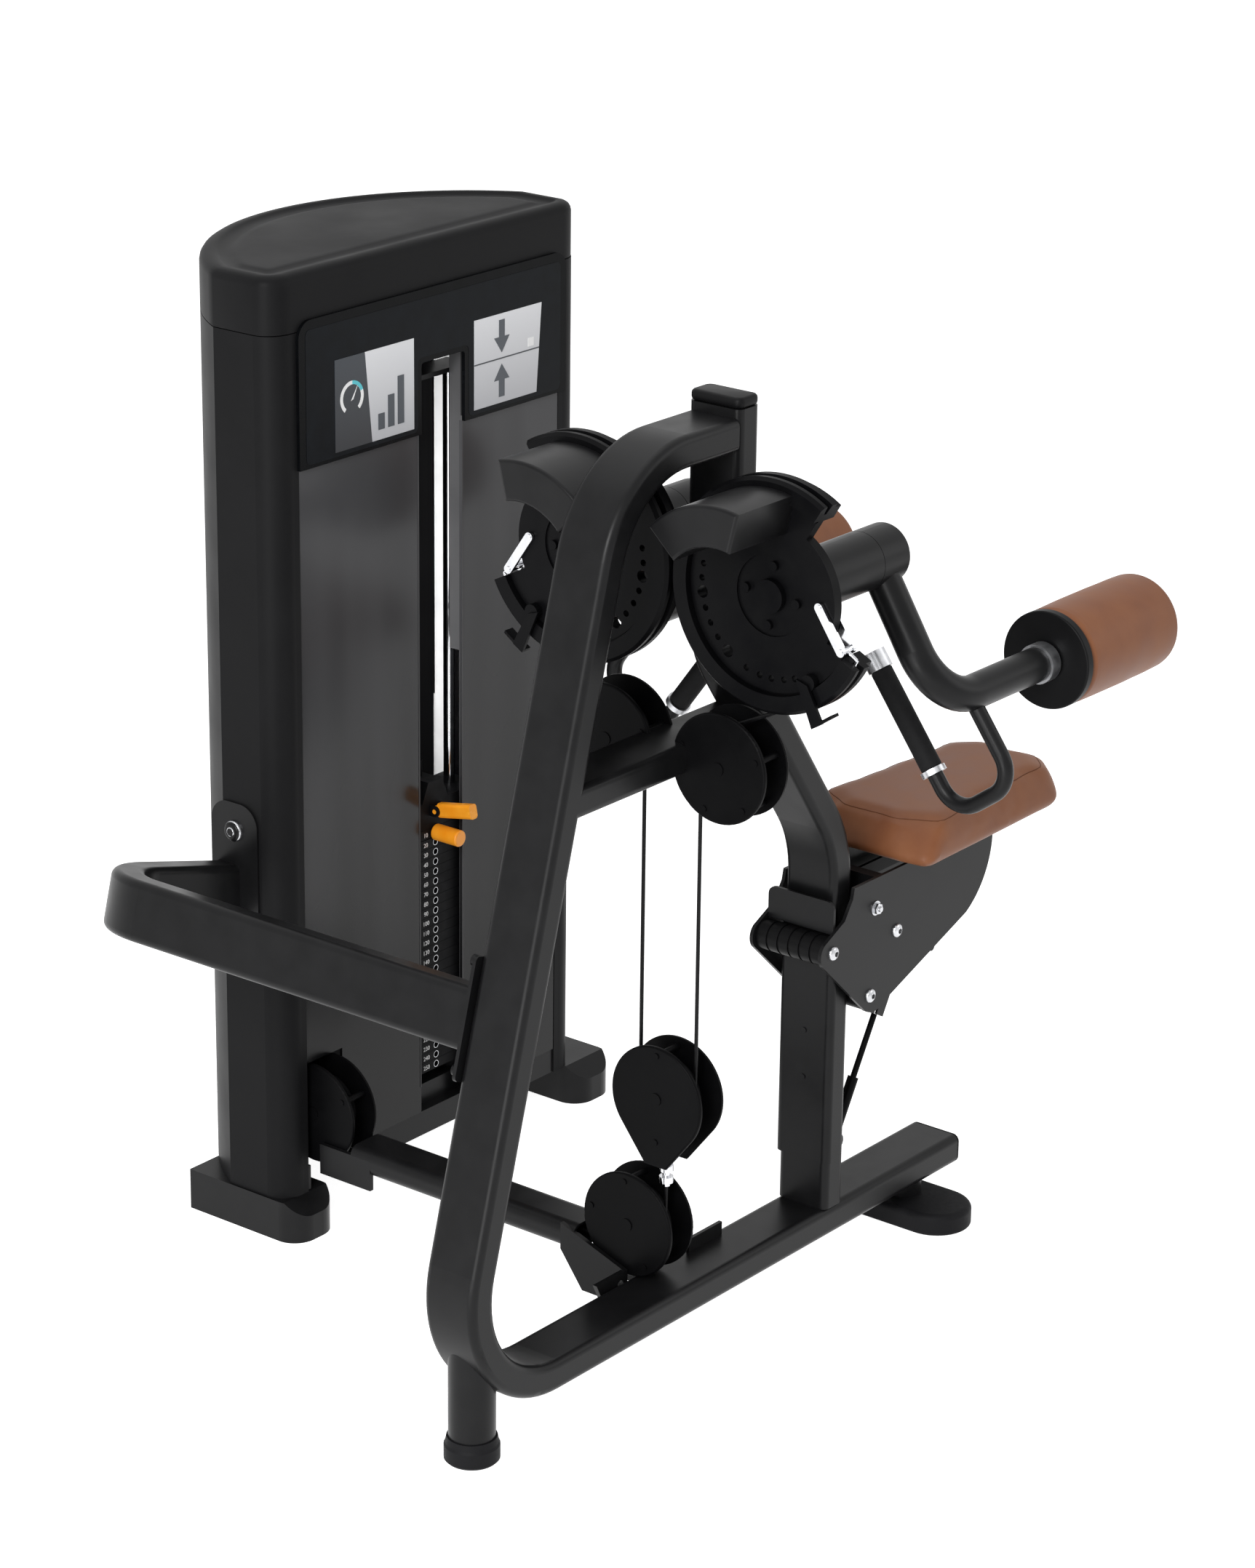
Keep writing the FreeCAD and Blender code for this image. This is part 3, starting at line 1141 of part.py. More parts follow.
# Seat carriage
def _side_face(y):
    def spot(pair):
        return V(pair[0], y, pair[1])
    edges = []
    line = [spot(p[1:]) for p in SIDE_PTS]
    for first, last in zip(line, line[1:]):
        edges.append(Part.LineSegment(first, last).toShape())
    edges.append(Part.Arc(*[spot(p) for p in SIDE_ARC]).toShape())
    edges.append(Part.LineSegment(*[spot(p) for p in SIDE_TAIL]).toShape())
    edges.append(Part.Arc(*[spot(p) for p in SIDE_LOW_ARC]).toShape())
    edges.append(Part.LineSegment(*[spot(p) for p in SIDE_BACK]).toShape())
    edges.append(Part.Arc(*[spot(p) for p in SIDE_NOSE]).toShape())
    return Part.Face(Part.Wire(edges))


def seat_frame():
    """Two side plates with cross plates, bolts and roller pins."""
    pieces = []
    for sign in (-1, 1):
        y0 = sign * SIDE_Y - _half(SIDE_T)
        pieces.append(_side_face(y0).extrude(V(0, SIDE_T, 0)))
        outer = sign * SIDE_Y + sign * _half(SIDE_T)
        tip = outer + sign * CARRIAGE_BOLT_H
        for x, z in CARRIAGE_BOLTS + (ROLLER_FRONT, ROLLER_LOW):
            ys = sorted((outer, tip))
            pieces.append(_rod_y(CARRIAGE_BOLT_R, x, ys[0], ys[1], z))
    for x, z in (ROLLER_FRONT, ROLLER_LOW):
        pieces.append(_rod_y(ROLLER_PIN_R, x, -SIDE_Y, SIDE_Y, z))
    inner = SIDE_Y - _half(SIDE_T)
    cross = _box(CROSS_PLATE_X, CROSS_PLATE_X + CROSS_PLATE_T, -inner, inner, CROSS_PLATE_Z0, CROSS_PLATE_Z1)
    pieces.append(_round_rims(cross, CROSS_PLATE_R, lambda e: e.BoundBox.XLength > _half(CROSS_PLATE_T) and e.BoundBox.ZMin > CROSS_PLATE_Z0))
    pieces.append(_box(SPREADER_X0, SPREADER_X0 + SPREADER_T, -inner, inner, SPREADER_Z0, SPREADER_Z1))
    way = (V(STRUT_TOP[0], 0, STRUT_TOP[1]) - V(LUG_X, 0, LUG_Z)).normalize()
    side = V(-way.z, 0, way.x) * _half(FORK_W)
    foot = V(STRUT_TOP[0], 0, STRUT_TOP[1])
    head = foot + way * FORK_L
    outline = [(p.x, p.z) for p in (foot + side, head + side, head - side, foot - side)]
    for sign in (-1, 1):
        ys = sorted((sign * FORK_BAR_Y, sign * (FORK_BAR_Y + FORK_BAR_T)))
        pieces.append(_prism_y(outline, ys[0], ys[1]))
    pin = head - way * FORK_W
    pieces.append(_rod_y(FORK_PIN_R, pin.x, -inner, inner, pin.z))
    top = SEAT_Z0 - SEAT_PLATE_T
    pieces.append(_box(SEAT_PLATE_X0, SEAT_PLATE_X1, -SEAT_PLATE_HALF, SEAT_PLATE_HALF, top, SEAT_Z0))
    return _join(pieces)


def seat_rollers():
    """Ribbed roller before the column and plain roller behind it."""
    inner = SIDE_Y - _half(SIDE_T) - ROLLER_GAP
    front = _rod_y(ROLLER_R, ROLLER_FRONT[0], -inner, inner, ROLLER_FRONT[1])
    bore = _rod_y(ROLLER_BORE_R, ROLLER_FRONT[0], -SIDE_Y, SIDE_Y, ROLLER_FRONT[1])
    step = (inner + inner) / ROLLER_RIBS
    for index in range(1, ROLLER_RIBS):
        y = -inner + index * step
        groove = _rod_y(ROLLER_R + CUT_OVERRUN, ROLLER_FRONT[0], y - ROLLER_RIB_D, y + ROLLER_RIB_D, ROLLER_FRONT[1])
        core = _rod_y(ROLLER_R - ROLLER_RIB_D, ROLLER_FRONT[0], -SIDE_Y, SIDE_Y, ROLLER_FRONT[1])
        front = front.cut(groove.cut(core))
    return front.cut(bore)


def seat_low_roller():
    inner = SIDE_Y - _half(SIDE_T) - ROLLER_GAP
    low = _rod_y(ROLLER_LOW_R, ROLLER_LOW[0], -inner, inner, ROLLER_LOW[1])
    groove_y = _half(RACK_T) + ROLLER_RACK_GAP + ROLLER_RACK_GAP
    groove = _rod_y(ROLLER_LOW_R + CUT_OVERRUN, ROLLER_LOW[0], -groove_y, groove_y, ROLLER_LOW[1])
    rack_x = COLUMN_X + _half(TUBE_T) + RACK_PROUD + ROLLER_RACK_GAP
    core = _rod_y(ROLLER_LOW[0] - rack_x, ROLLER_LOW[0], -SIDE_Y, SIDE_Y, ROLLER_LOW[1])
    low = low.cut(groove.cut(core))
    return low.cut(_rod_y(ROLLER_BORE_R, ROLLER_LOW[0], -SIDE_Y, SIDE_Y, ROLLER_LOW[1]))


def _seat_outline(station):
    """Rounded plan of the seat pad at one height, bowed toward the column."""
    rise, nose_x, front_x, front_half, tip_half, tip_x, cut = station
    nose = front_half * SEAT_NOSE_SHARE
    points = [(nose_x, -nose), (front_x, -front_half), (tip_x - cut, -tip_half), (tip_x, -tip_half + cut),
              (tip_x, tip_half - cut), (tip_x - cut, tip_half), (front_x, front_half), (nose_x, nose)]
    radii = [SEAT_CORNER_R, SEAT_CORNER_R, SEAT_TIP_R, SEAT_TIP_R, SEAT_TIP_R, SEAT_TIP_R, SEAT_CORNER_R,
             SEAT_CORNER_R]
    corners = [V(x, y, SEAT_Z0 + rise) for x, y in points]
    count = len(corners)
    bends = []
    for index, corner in enumerate(corners):
        back = (corners[index - 1] - corner).normalize()
        ahead = (corners[(index + 1) % count] - corner).normalize()
        turn = math.pi - back.getAngle(ahead)
        reach = radii[index] * math.tan(_half(turn))
        inward = (back + ahead).normalize()
        mid = corner + inward * (radii[index] / math.cos(_half(turn)) - radii[index])
        bends.append((corner + back * reach, mid, corner + ahead * reach))
    edges = []
    for index, (first, mid, last) in enumerate(bends):
        edges.append(Part.Arc(first, mid, last).toShape())
        edges.append(Part.LineSegment(last, bends[(index + 1) % count][0]).toShape())
    return Part.Wire(edges)


def seat_pad():
    """Upholstered seat, widest near its foot, with sides that slope in to the seam."""
    foot, wide, seam, top = [_seat_outline(station) for station in (SEAT_FOOT, SEAT_WIDE, SEAT_SEAM, SEAT_TOP)]
    parts = [Part.makeLoft([low, high], True, True) for low, high in ((foot, wide), (wide, seam), (seam, top))]
    return _join(parts)


def seat_lever():
    """Latch lever with its cross shaft."""
    reach = SIDE_Y - _half(SIDE_T) - LEVER_PLAY
    shaft = _rod_y(LEVER_SHAFT_R, LEVER_X0, -reach, reach, LEVER_Z)
    bar = _box(LEVER_X0, LEVER_X1, LEVER_Y, LEVER_Y + LEVER_T, LEVER_Z - _half(LEVER_W), LEVER_Z + _half(LEVER_W))
    return _join([shaft, bar])


def lever_knob():
    y = LEVER_Y + _half(LEVER_T)
    knob = _rod_x(LEVER_KNOB_R, LEVER_X1, LEVER_X1 + LEVER_KNOB_L, y, LEVER_Z)
    return _round_rims(knob, LEVER_KNOB_R - GRIP_EDGE, lambda e: e.BoundBox.XMin > LEVER_X1 + GRIP_EDGE
                       and e.BoundBox.YLength > LEVER_KNOB_R)


def strut():
    """Thin strut between the lug on the column and the fork under the seat."""
    start = (LUG_X, 0, LUG_Z)
    end = (STRUT_TOP[0], 0, STRUT_TOP[1])
    span = math.dist(start, end)
    rod = _rod(STRUT_R, start, end)
    tube = _rod(STRUT_TUBE_R, _along(start, end, LUG_R), _along(start, end, span / 2))
    eye = _rod_y(LUG_R - FOOT_EDGE, LUG_X, -LUG_GAP + _half(LUG_T), LUG_GAP - _half(LUG_T), LUG_Z)
    return _join([rod, tube, eye])


# Weight tower
def _tower_x(offset):
    return TOWER_X + offset


def _tower_wire(inset, z):
    """Plan of the tower: flat front, short sides and a round back."""
    front = TOWER_FRONT_Y + inset
    half = TOWER_HALF - inset
    spots = {}
    for sign in (-1, 1):
        spots[sign, "front"] = V(_tower_x(sign * (TOWER_FRONT_HALF - inset)), front, z)
        spots[sign, "ridge"] = V(_tower_x(sign * half), TOWER_SIDE_Y + inset, z)
        spots[sign, "side"] = V(_tower_x(sign * half), TOWER_BACK_SIDE_Y, z)
    corner = TOWER_FRONT_R * (1 - math.sqrt(0.5))
    edges = [Part.LineSegment(spots[-1, "front"], spots[1, "front"]).toShape()]
    edges.append(Part.Arc(spots[1, "front"], V(_tower_x(half - corner), front + corner, z),
                          spots[1, "ridge"]).toShape())
    edges.append(Part.LineSegment(spots[1, "ridge"], spots[1, "side"]).toShape())
    edges.append(Part.Arc(spots[1, "side"], V(TOWER_X, TOWER_APEX_Y - inset, z), spots[-1, "side"]).toShape())
    edges.append(Part.LineSegment(spots[-1, "side"], spots[-1, "ridge"]).toShape())
    edges.append(Part.Arc(spots[-1, "ridge"], V(_tower_x(-half + corner), front + corner, z),
                          spots[-1, "front"]).toShape())
    return Part.Wire(edges)


def _tower_block(inset, z0, z1):
    return Part.Face(_tower_wire(inset, z0)).extrude(V(0, 0, z1 - z0))


def tower_cover():
    """Shell of the tower: corner covers and round rear cover, open in front."""
    outer = _tower_block(0, TOWER_Z0, TOWER_SEAM_Z)
    inner = _tower_block(TOWER_WALL, TOWER_Z0 - CUT_OVERRUN, TOWER_SEAM_Z + CUT_OVERRUN)
    half = FRONT_POST_HALF_X
    opening = _box(_tower_x(-half), _tower_x(half), TOWER_FRONT_Y - CUT_OVERRUN, TOWER_SIDE_Y - CUT_OVERRUN,
                   TOWER_Z0 - CUT_OVERRUN, FRONT_OPEN_TOP_Z)
    slot = _box(SLOT_X0, SLOT_X1, TOWER_FRONT_Y - CUT_OVERRUN, TOWER_SIDE_Y - CUT_OVERRUN,
                FRONT_OPEN_TOP_Z - CUT_OVERRUN, SLOT_TOP_Z)
    return outer.cut(inner).cut(opening).cut(slot)


def tower_cap():
    """Lid with a dished top."""
    block = _tower_block(0, TOWER_SEAM_Z + GUARD_BOLT_H, CAP_TOP_Z)
    block = _round_rims(block, CAP_EDGE, lambda e: e.BoundBox.ZMin > CAP_TOP_Z - CABLE_CLEAR)
    inner = _tower_block(CAP_EDGE, TOWER_SEAM_Z - CUT_OVERRUN, CAP_TOP_Z - CAP_DISH_D - CAP_WALL)
    dish = _tower_block(CAP_INSET, CAP_TOP_Z - CAP_DISH_D, CAP_TOP_Z + CUT_OVERRUN)
    return block.cut(inner).cut(dish)


def info_panel():
    """Upper front panel with the slot for the selector pin."""
    front = TOWER_FRONT_Y - PANEL_PROUD
    panel = _box(PANEL_X0, PANEL_X1, front, front + PANEL_T, PANEL_Z0, PANEL_Z1)
    panel = _round_rims(panel, PANEL_R, lambda e: e.BoundBox.YLength > _half(PANEL_T) and e.BoundBox.ZMin > SLOT_TOP_Z)
    slot = _box(SLOT_X0, SLOT_X1, front - CUT_OVERRUN, front + PANEL_T + CUT_OVERRUN,
                PANEL_Z0 - CUT_OVERRUN, SLOT_TOP_Z)
    slot = _round_rims(slot, SLOT_R, lambda e: e.BoundBox.YLength > PANEL_T and e.BoundBox.ZMin > PANEL_Z0)
    return panel.cut(slot)


def smoked_panels():
    """Two clear dark panels beside the slot."""
    sides = []
    high = PANEL_Z0 - SMOKE_GAP
    low = TOWER_Z0 + FRONT_RAIL_H
    for x0, x1 in ((_tower_x(-FRONT_POST_HALF_X) + SMOKE_GAP, SLOT_X0), (SLOT_X1, _tower_x(FRONT_POST_HALF_X) - SMOKE_GAP)):
        sides.append(_box(x0, x1, SMOKE_Y - SMOKE_T, SMOKE_Y, low, high))
    gap = _box(GUARD_X0 - TFOOT_WALL_Z, GUARD_X1 + GUARD_T + WHEEL_HANGER_T + SMOKE_NOTCH, SMOKE_Y - TOWER_FRONT_R, SMOKE_Y + TOWER_FRONT_R,
               low - CUT_OVERRUN, LOW_WHEEL_Z + GUARD_R + SMOKE_NOTCH)
    return _group([side.cut(gap) for side in sides])


def tower_frame():
    """Front rail, bottom beam, rear upright, top beam and wheel hangers."""
    half = FRONT_POST_HALF_X - SMOKE_GAP
    rail = _box(_tower_x(-half), _tower_x(half), TOWER_FRONT_Y + TOWER_WALL, TOWER_FRONT_Y + FRONT_RAIL_T,
                TOWER_Z0, TOWER_Z0 + FRONT_RAIL_H - SMOKE_GAP - SMOKE_GAP)
    wheel_gap = _box(GUARD_X0 - CUT_OVERRUN, GUARD_X1 + GUARD_T + GUARD_BOLT_H + CABLE_CLEAR,
                     TOWER_FRONT_Y - GUARD_R, STACK_Y + BEAM_D, TOWER_Z0 - CUT_OVERRUN,
                     LOW_WHEEL_Z + GUARD_R)
    beam_low = STACK_Z0 - BUFFER_H - BEAM_H
    bottom = _box(_tower_x(-half), _tower_x(half), STACK_Y - _half(BEAM_D), STACK_Y + _half(BEAM_D),
                  beam_low, beam_low + BEAM_H)
    back_y = TOWER_APEX_Y - TOWER_WALL - FRAME_BAR - TUBE_R
    foot = _box(_tower_x(-_half(FRAME_BAR)), _tower_x(_half(FRAME_BAR)), TOWER_FRONT_Y + FRONT_RAIL_T, back_y,
                TOWER_Z0, TOWER_Z0 + BEAM_H)
    upright = _box(_tower_x(-_half(FRAME_BAR)), _tower_x(_half(FRAME_BAR)), back_y, back_y + FRAME_BAR,
                   TOWER_Z0, TOP_BEAM_Z)
    head = _box(_tower_x(-_half(FRAME_BAR)), _tower_x(_half(FRAME_BAR)), STACK_Y + _half(BEAM_D), back_y,
                TOP_BEAM_Z - BEAM_H, TOP_BEAM_Z)
    pieces = [rail.cut(wheel_gap), bottom.cut(wheel_gap), foot, upright, head]
    return pieces


def tower_frame_whole():
    half = FRONT_POST_HALF_X - SMOKE_GAP
    pieces = tower_frame()
    rise = STACK_Y
    top = _box(_tower_x(-half), _tower_x(half), rise - _half(BEAM_D), rise + _half(BEAM_D),
               TOP_BEAM_Z - TOP_BEAM_H - TOP_BEAM_H, TOP_BEAM_Z)
    hangers = []
    for x in (CABLE_X + WHEEL_R, STACK_X - WHEEL_R):
        y0 = rise + _half(WHEEL_T) + ROLLER_GAP
        hangers.append(_box(x - _half(WHEEL_HANGER_W), x + _half(WHEEL_HANGER_W), y0, y0 + WHEEL_HANGER_T,
                            TOP_WHEEL_Z - AXLE_BOLT_R - AXLE_BOLT_R, TOP_BEAM_Z - TOP_BEAM_H))
        hangers.append(_rod_y(AXLE_BOLT_R, x, rise - _half(WHEEL_T), y0 + WHEEL_HANGER_T, TOP_WHEEL_Z))
    hub_x = GUARD_X1 + GUARD_T + GUARD_BOLT_H + CABLE_CLEAR
    post = _box(hub_x, hub_x + WHEEL_HANGER_T, TOWER_WHEEL_Y - _half(WHEEL_HANGER_W),
                STACK_Y + _half(BEAM_D), STACK_Z0 - BUFFER_H - BEAM_H, LOW_WHEEL_Z + WHEEL_T)
    axle = _rod_x(AXLE_BOLT_R, GUARD_X0 + GUARD_T, hub_x + WHEEL_HANGER_T, TOWER_WHEEL_Y, LOW_WHEEL_Z)
    reach = GUIDE_DX + GUIDE_PLATE_REACH
    plate = _box(STACK_X - reach, STACK_X + reach, rise - GUIDE_PLATE_REACH, rise + GUIDE_PLATE_REACH,
                 GUIDE_TOP_Z, GUIDE_TOP_Z + GUIDE_PLATE_T)
    arm_bar = _box(STACK_X - GUIDE_PLATE_REACH, STACK_X + GUIDE_PLATE_REACH, rise, TOWER_APEX_Y - TOWER_WALL - FRAME_BAR,
                   GUIDE_TOP_Z, GUIDE_TOP_Z + GUIDE_PLATE_T)
    hole = _rod_z(CONN_NUT_R, STACK_X, rise, GUIDE_TOP_Z - CUT_OVERRUN, GUIDE_TOP_Z + GUIDE_PLATE_T + CUT_OVERRUN)
    guide_plate = _join([plate, arm_bar]).cut(hole)
    return _join(pieces + [top] + hangers + [post, axle, guide_plate])


def tower_feet():
    """Two cast feet under the tower sides with sloped tops and round noses."""
    feet = []
    for sign, wall in ((LEFT_SIGN, TFOOT_LEFT_X), (RIGHT_SIGN, TFOOT_RIGHT_X)):
        xs = sorted((wall, wall - sign * (TFOOT_W + TFOOT_TOP_INSET)))
        foot = _box(xs[0], xs[1], TFOOT_IN_Y, TFOOT_BACK_Y, 0, TOWER_Z0)
        foot = _round_rims(foot, TFOOT_NOSE_R, lambda e: e.BoundBox.ZLength > TFOOT_WALL_Z and e.BoundBox.YMax < TOWER_FRONT_Y)
        slope = _prism_x([(TFOOT_IN_Y - CUT_OVERRUN, TFOOT_WALL_Z), (TOWER_FRONT_Y, TOWER_Z0),
                          (TOWER_FRONT_Y, TOWER_Z0 + CUT_OVERRUN), (TFOOT_IN_Y - CUT_OVERRUN, TOWER_Z0 + CUT_OVERRUN)],
                         xs[0] - CUT_OVERRUN, xs[1] + CUT_OVERRUN)
        feet.append(foot.cut(slope))
    return _group(feet)


# Weight stack
def _stack_plate(z, with_guides=True):
    half_w = _half(PLATE_W)
    half_d = _half(PLATE_D)
    plate = _box(STACK_X - half_w, STACK_X + half_w, STACK_Y - half_d, STACK_Y + half_d,
                 z + PLATE_GAP, z + PLATE_PITCH)
    holes = [_rod_z(GUIDE_R + GUIDE_PLAY, STACK_X + sign * GUIDE_DX, STACK_Y, z - CUT_OVERRUN,
                    z + PLATE_PITCH + CUT_OVERRUN) for sign in (-1, 1)]
    holes.append(_rod_z(ROD_R + ROD_PLAY, STACK_X, STACK_Y, z - CUT_OVERRUN, z + PLATE_PITCH + CUT_OVERRUN))
    holes.append(_rod_y(PIN_R + PIN_PLAY, STACK_X, STACK_Y - PLATE_D, STACK_Y, z + _half(PLATE_PITCH)))
    return plate.cut(Part.makeCompound(holes))


def _lift_z():
    return STACK_Z0 + REST_COUNT * PLATE_PITCH


def _head_z():
    return _lift_z() + LIFT_COUNT * PLATE_PITCH


def stack_plates():
    return _group([_stack_plate(STACK_Z0 + i * PLATE_PITCH) for i in range(REST_COUNT)])


def stack_lifted():
    return _group([_stack_plate(_lift_z() + PLATE_GAP + i * PLATE_PITCH) for i in range(LIFT_COUNT)])


def _pin_z():
    return _lift_z() + PLATE_GAP + _half(PLATE_PITCH)


def _paddle_axis():
    """Place of the lever's cross pin before the head."""
    return STACK_Y - _half(PLATE_D) - PADDLE_HUB_R - HEAD_CHEEK_GAP, _pin_z() + PADDLE_LIFT


def stack_head():
    """Top block with a narrow neck, the selector rod, the yoke and the lever's cheeks."""
    z = _head_z() + PLATE_GAP + PLATE_GAP
    front = STACK_Y - _half(PLATE_D)
    block = _box(STACK_X - _half(PLATE_W), STACK_X + _half(PLATE_W), front, front + PLATE_D, z, z + HEAD_H)
    block = _soften(block, PLATE_EDGE, (0, 0, 1))
    top = z + HEAD_H
    neck = _prism_y([(STACK_X - HEAD_NECK_HALF0, top), (STACK_X + HEAD_NECK_HALF0, top),
                     (STACK_X + HEAD_NECK_HALF1, top + HEAD_NECK_H), (STACK_X - HEAD_NECK_HALF1, top + HEAD_NECK_H)],
                    front, front + PLATE_D)
    guides = [_rod_z(GUIDE_R + GUIDE_PLAY, STACK_X + sign * GUIDE_DX, STACK_Y, z - CUT_OVERRUN,
                     top + CUT_OVERRUN) for sign in (-1, 1)]
    rod = _rod_z(ROD_R, STACK_X, STACK_Y, _lift_z() - PLATE_PITCH - PLATE_PITCH, top)
    yoke = _rod_z(YOKE_R, STACK_X, STACK_Y, top + HEAD_NECK_H, STACK_END_Z)
    axis_y, axis_z = _paddle_axis()
    inner = _half(PADDLE_W) + HEAD_CHEEK_GAP
    cheeks = []
    for sign in (-1, 1):
        xs = sorted((STACK_X + sign * inner, STACK_X + sign * (inner + HEAD_CHEEK_T)))
        cheek = _join([_box(xs[0], xs[1], axis_y, front, axis_z - PADDLE_HUB_R, axis_z + PADDLE_HUB_R),
                       _rod_x(PADDLE_HUB_R, xs[0], xs[1], axis_y, axis_z)])
        cheeks.append(cheek)
    bore = _rod_x(PADDLE_PIN_R + PIN_PLAY, STACK_X - PADDLE_H, STACK_X + PADDLE_H, axis_y, axis_z)
    pin = _rod_y(PIN_R + PIN_PLAY, STACK_X, STACK_Y - PLATE_D, STACK_Y + ROD_R + CUT_OVERRUN, _pin_z())
    whole = _join([block, neck, rod, yoke] + cheeks)
    return whole.cut(Part.makeCompound(guides)).cut(pin).cut(bore)


def selector_pin():
    z = _pin_z()
    front = STACK_Y - _half(PLATE_D)
    stem = _rod_y(PIN_R, STACK_X, front - ROLLER_GAP, STACK_Y + ROD_R - ROLLER_GAP, z)
    knob = _rod_y(PIN_KNOB_R, STACK_X, front - ROLLER_GAP - PIN_KNOB_L, front - ROLLER_GAP, z)
    knob = _round_rims(knob, GUARD_EDGE, lambda e: e.BoundBox.XLength > PIN_KNOB_R)
    return _join([stem, knob])


def addon_lever():
    """Small lever on a cross pin at the head that swings an extra weight in."""
    axis_y, axis_z = _paddle_axis()
    half = _half(PADDLE_W)
    bar = _box(STACK_X - half, STACK_X + half, axis_y - PADDLE_L, axis_y - PADDLE_HUB_R + PADDLE_EDGE,
               axis_z - _half(PADDLE_H), axis_z + _half(PADDLE_H))
    bar = _soften(bar, PADDLE_EDGE, (0, 1, 0))
    hub = _rod_x(PADDLE_HUB_R, STACK_X - half, STACK_X + half, axis_y, axis_z)
    reach = half + HEAD_CHEEK_GAP + HEAD_CHEEK_T
    pin = _rod_x(PADDLE_PIN_R, STACK_X - reach, STACK_X + reach, axis_y, axis_z)
    neck = _box(STACK_X - half, STACK_X + half, axis_y - PADDLE_HUB_R - PADDLE_EDGE, axis_y,
                axis_z - _half(PADDLE_HUB_R), axis_z + _half(PADDLE_HUB_R))
    lever = _join([bar, hub, neck, pin])
    lever.rotate(V(STACK_X, axis_y, axis_z), V(-1, 0, 0), PADDLE_RISE_DEG)
    return lever


def guide_rods():
    rods = []
    for sign in (-1, 1):
        rods.append(_rod_z(GUIDE_R, STACK_X + sign * GUIDE_DX, STACK_Y, STACK_Z0 - BUFFER_H, GUIDE_TOP_Z))
    return _group(rods)


def stack_buffers():
    pads = []
    for sign in (-1, 1):
        x = STACK_X + sign * GUIDE_DX
        pad = _rod_z(BUFFER_R, x, STACK_Y, STACK_Z0 - BUFFER_H, STACK_Z0)
        pads.append(pad.cut(_rod_z(GUIDE_R, x, STACK_Y, STACK_Z0 - BUFFER_H - CUT_OVERRUN, STACK_Z0 + CUT_OVERRUN)))
    return _group(pads)


def build_all():
    column = seat_column()
    near_arm = arm()
    near_cam = cam()
    near_weight = counterweight()
    near_end = cable_end()
    near_grip = grip()
    near_trims = trims()
    near_roller = roller()
    near_caps = roller_caps()
    wheel = upper_wheel()
    bar = crossbar(column)
    nodes = {
        "base_tube": base_tube(),
        "leg_tube": leg_tube(),
        "top_tube": top_tube(),
        "seat_column": column,
        "crossbar": bar,
        "tube_caps": tube_caps(),
        "rubber_feet": _group([rubber_feet(), stack_buffers()]),
        "pivot_bracket": pivot_bracket(column),
        "pulley_guards": pulley_guards(bar),
        "link_bracket": link_bracket(),
        "guard_rail": guard_rail(),
        "seat_rack": seat_rack(column),
        "column_sleeve": column_sleeve(column),
        "cables_fixed": cables_fixed(),
        "cables_drop": cables_drop(),
        "cable_riser": cable_riser(),
        "cable_stack": cable_stack(),
        "arm_left": near_arm,
        "arm_right": _mirror(near_arm),
        "cam_left": near_cam,
        "cam_right": _mirror(near_cam),
        "counterweight_left": near_weight,
        "counterweight_right": _mirror(near_weight),
        "cable_end_left": near_end,
        "cable_end_right": _mirror(near_end),
        "grip_left": near_grip,
        "grip_right": _mirror(near_grip),
        "trims_left": near_trims,
        "trims_right": _mirror(near_trims),
        "roller_left": near_roller,
        "roller_right": _mirror(near_roller),
        "roller_caps_left": near_caps,
        "roller_caps_right": _mirror(near_caps),
        "upper_wheel_left": wheel,
        "upper_wheel_right": _mirror(wheel),
        "float_wheel": _wheel(_float_cable_r(), 0, FLOAT_Z),
        "low_wheel": _wheel(WHEEL_R, WHEEL_R, LOW_WHEEL_Z),
        "tower_wheel": _wheel(WHEEL_R, TOWER_WHEEL_Y, LOW_WHEEL_Z),
        "top_wheel_left": top_wheel(CABLE_X + WHEEL_R),
        "top_wheel_right": top_wheel(STACK_X - WHEEL_R),
        "float_plates": float_plates(),
        "float_connector": float_connector(),
        "seat_pad": seat_pad(),
        "seat_frame": seat_frame(),
        "seat_roller_front": seat_rollers(),
        "seat_roller_low": seat_low_roller(),
        "seat_lever": seat_lever(),
        "lever_knob": lever_knob(),
        "strut": strut(),
        "tower_cover": tower_cover(),
        "tower_cap": tower_cap(),
        "info_panel": info_panel(),
        "smoked_panels": smoked_panels(),
        "tower_frame": tower_frame_whole(),
        "tower_feet": tower_feet(),
        "stack_plates": stack_plates(),
        "stack_head": _group([stack_head(), stack_lifted()]),
        "selector_pin": selector_pin(),
        "addon_lever": addon_lever(),
        "guide_rods": guide_rods(),
    }
    return nodes


for node, shape in build_all().items():
    shape.exportStep("parts/" + node + ".step")
    print(node, len(shape.Solids), shape.isValid(), round(shape.Volume))
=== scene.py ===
"""Looks of a gym lateral raise machine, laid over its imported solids.

Lengths are in metres: x runs from the front leg to the rear foot, y from the near arm to the weight tower,
and z up.
"""

import bpy
import bmesh
import math
from mathutils import Matrix, Vector, noise
from mathutils.bvhtree import BVHTree


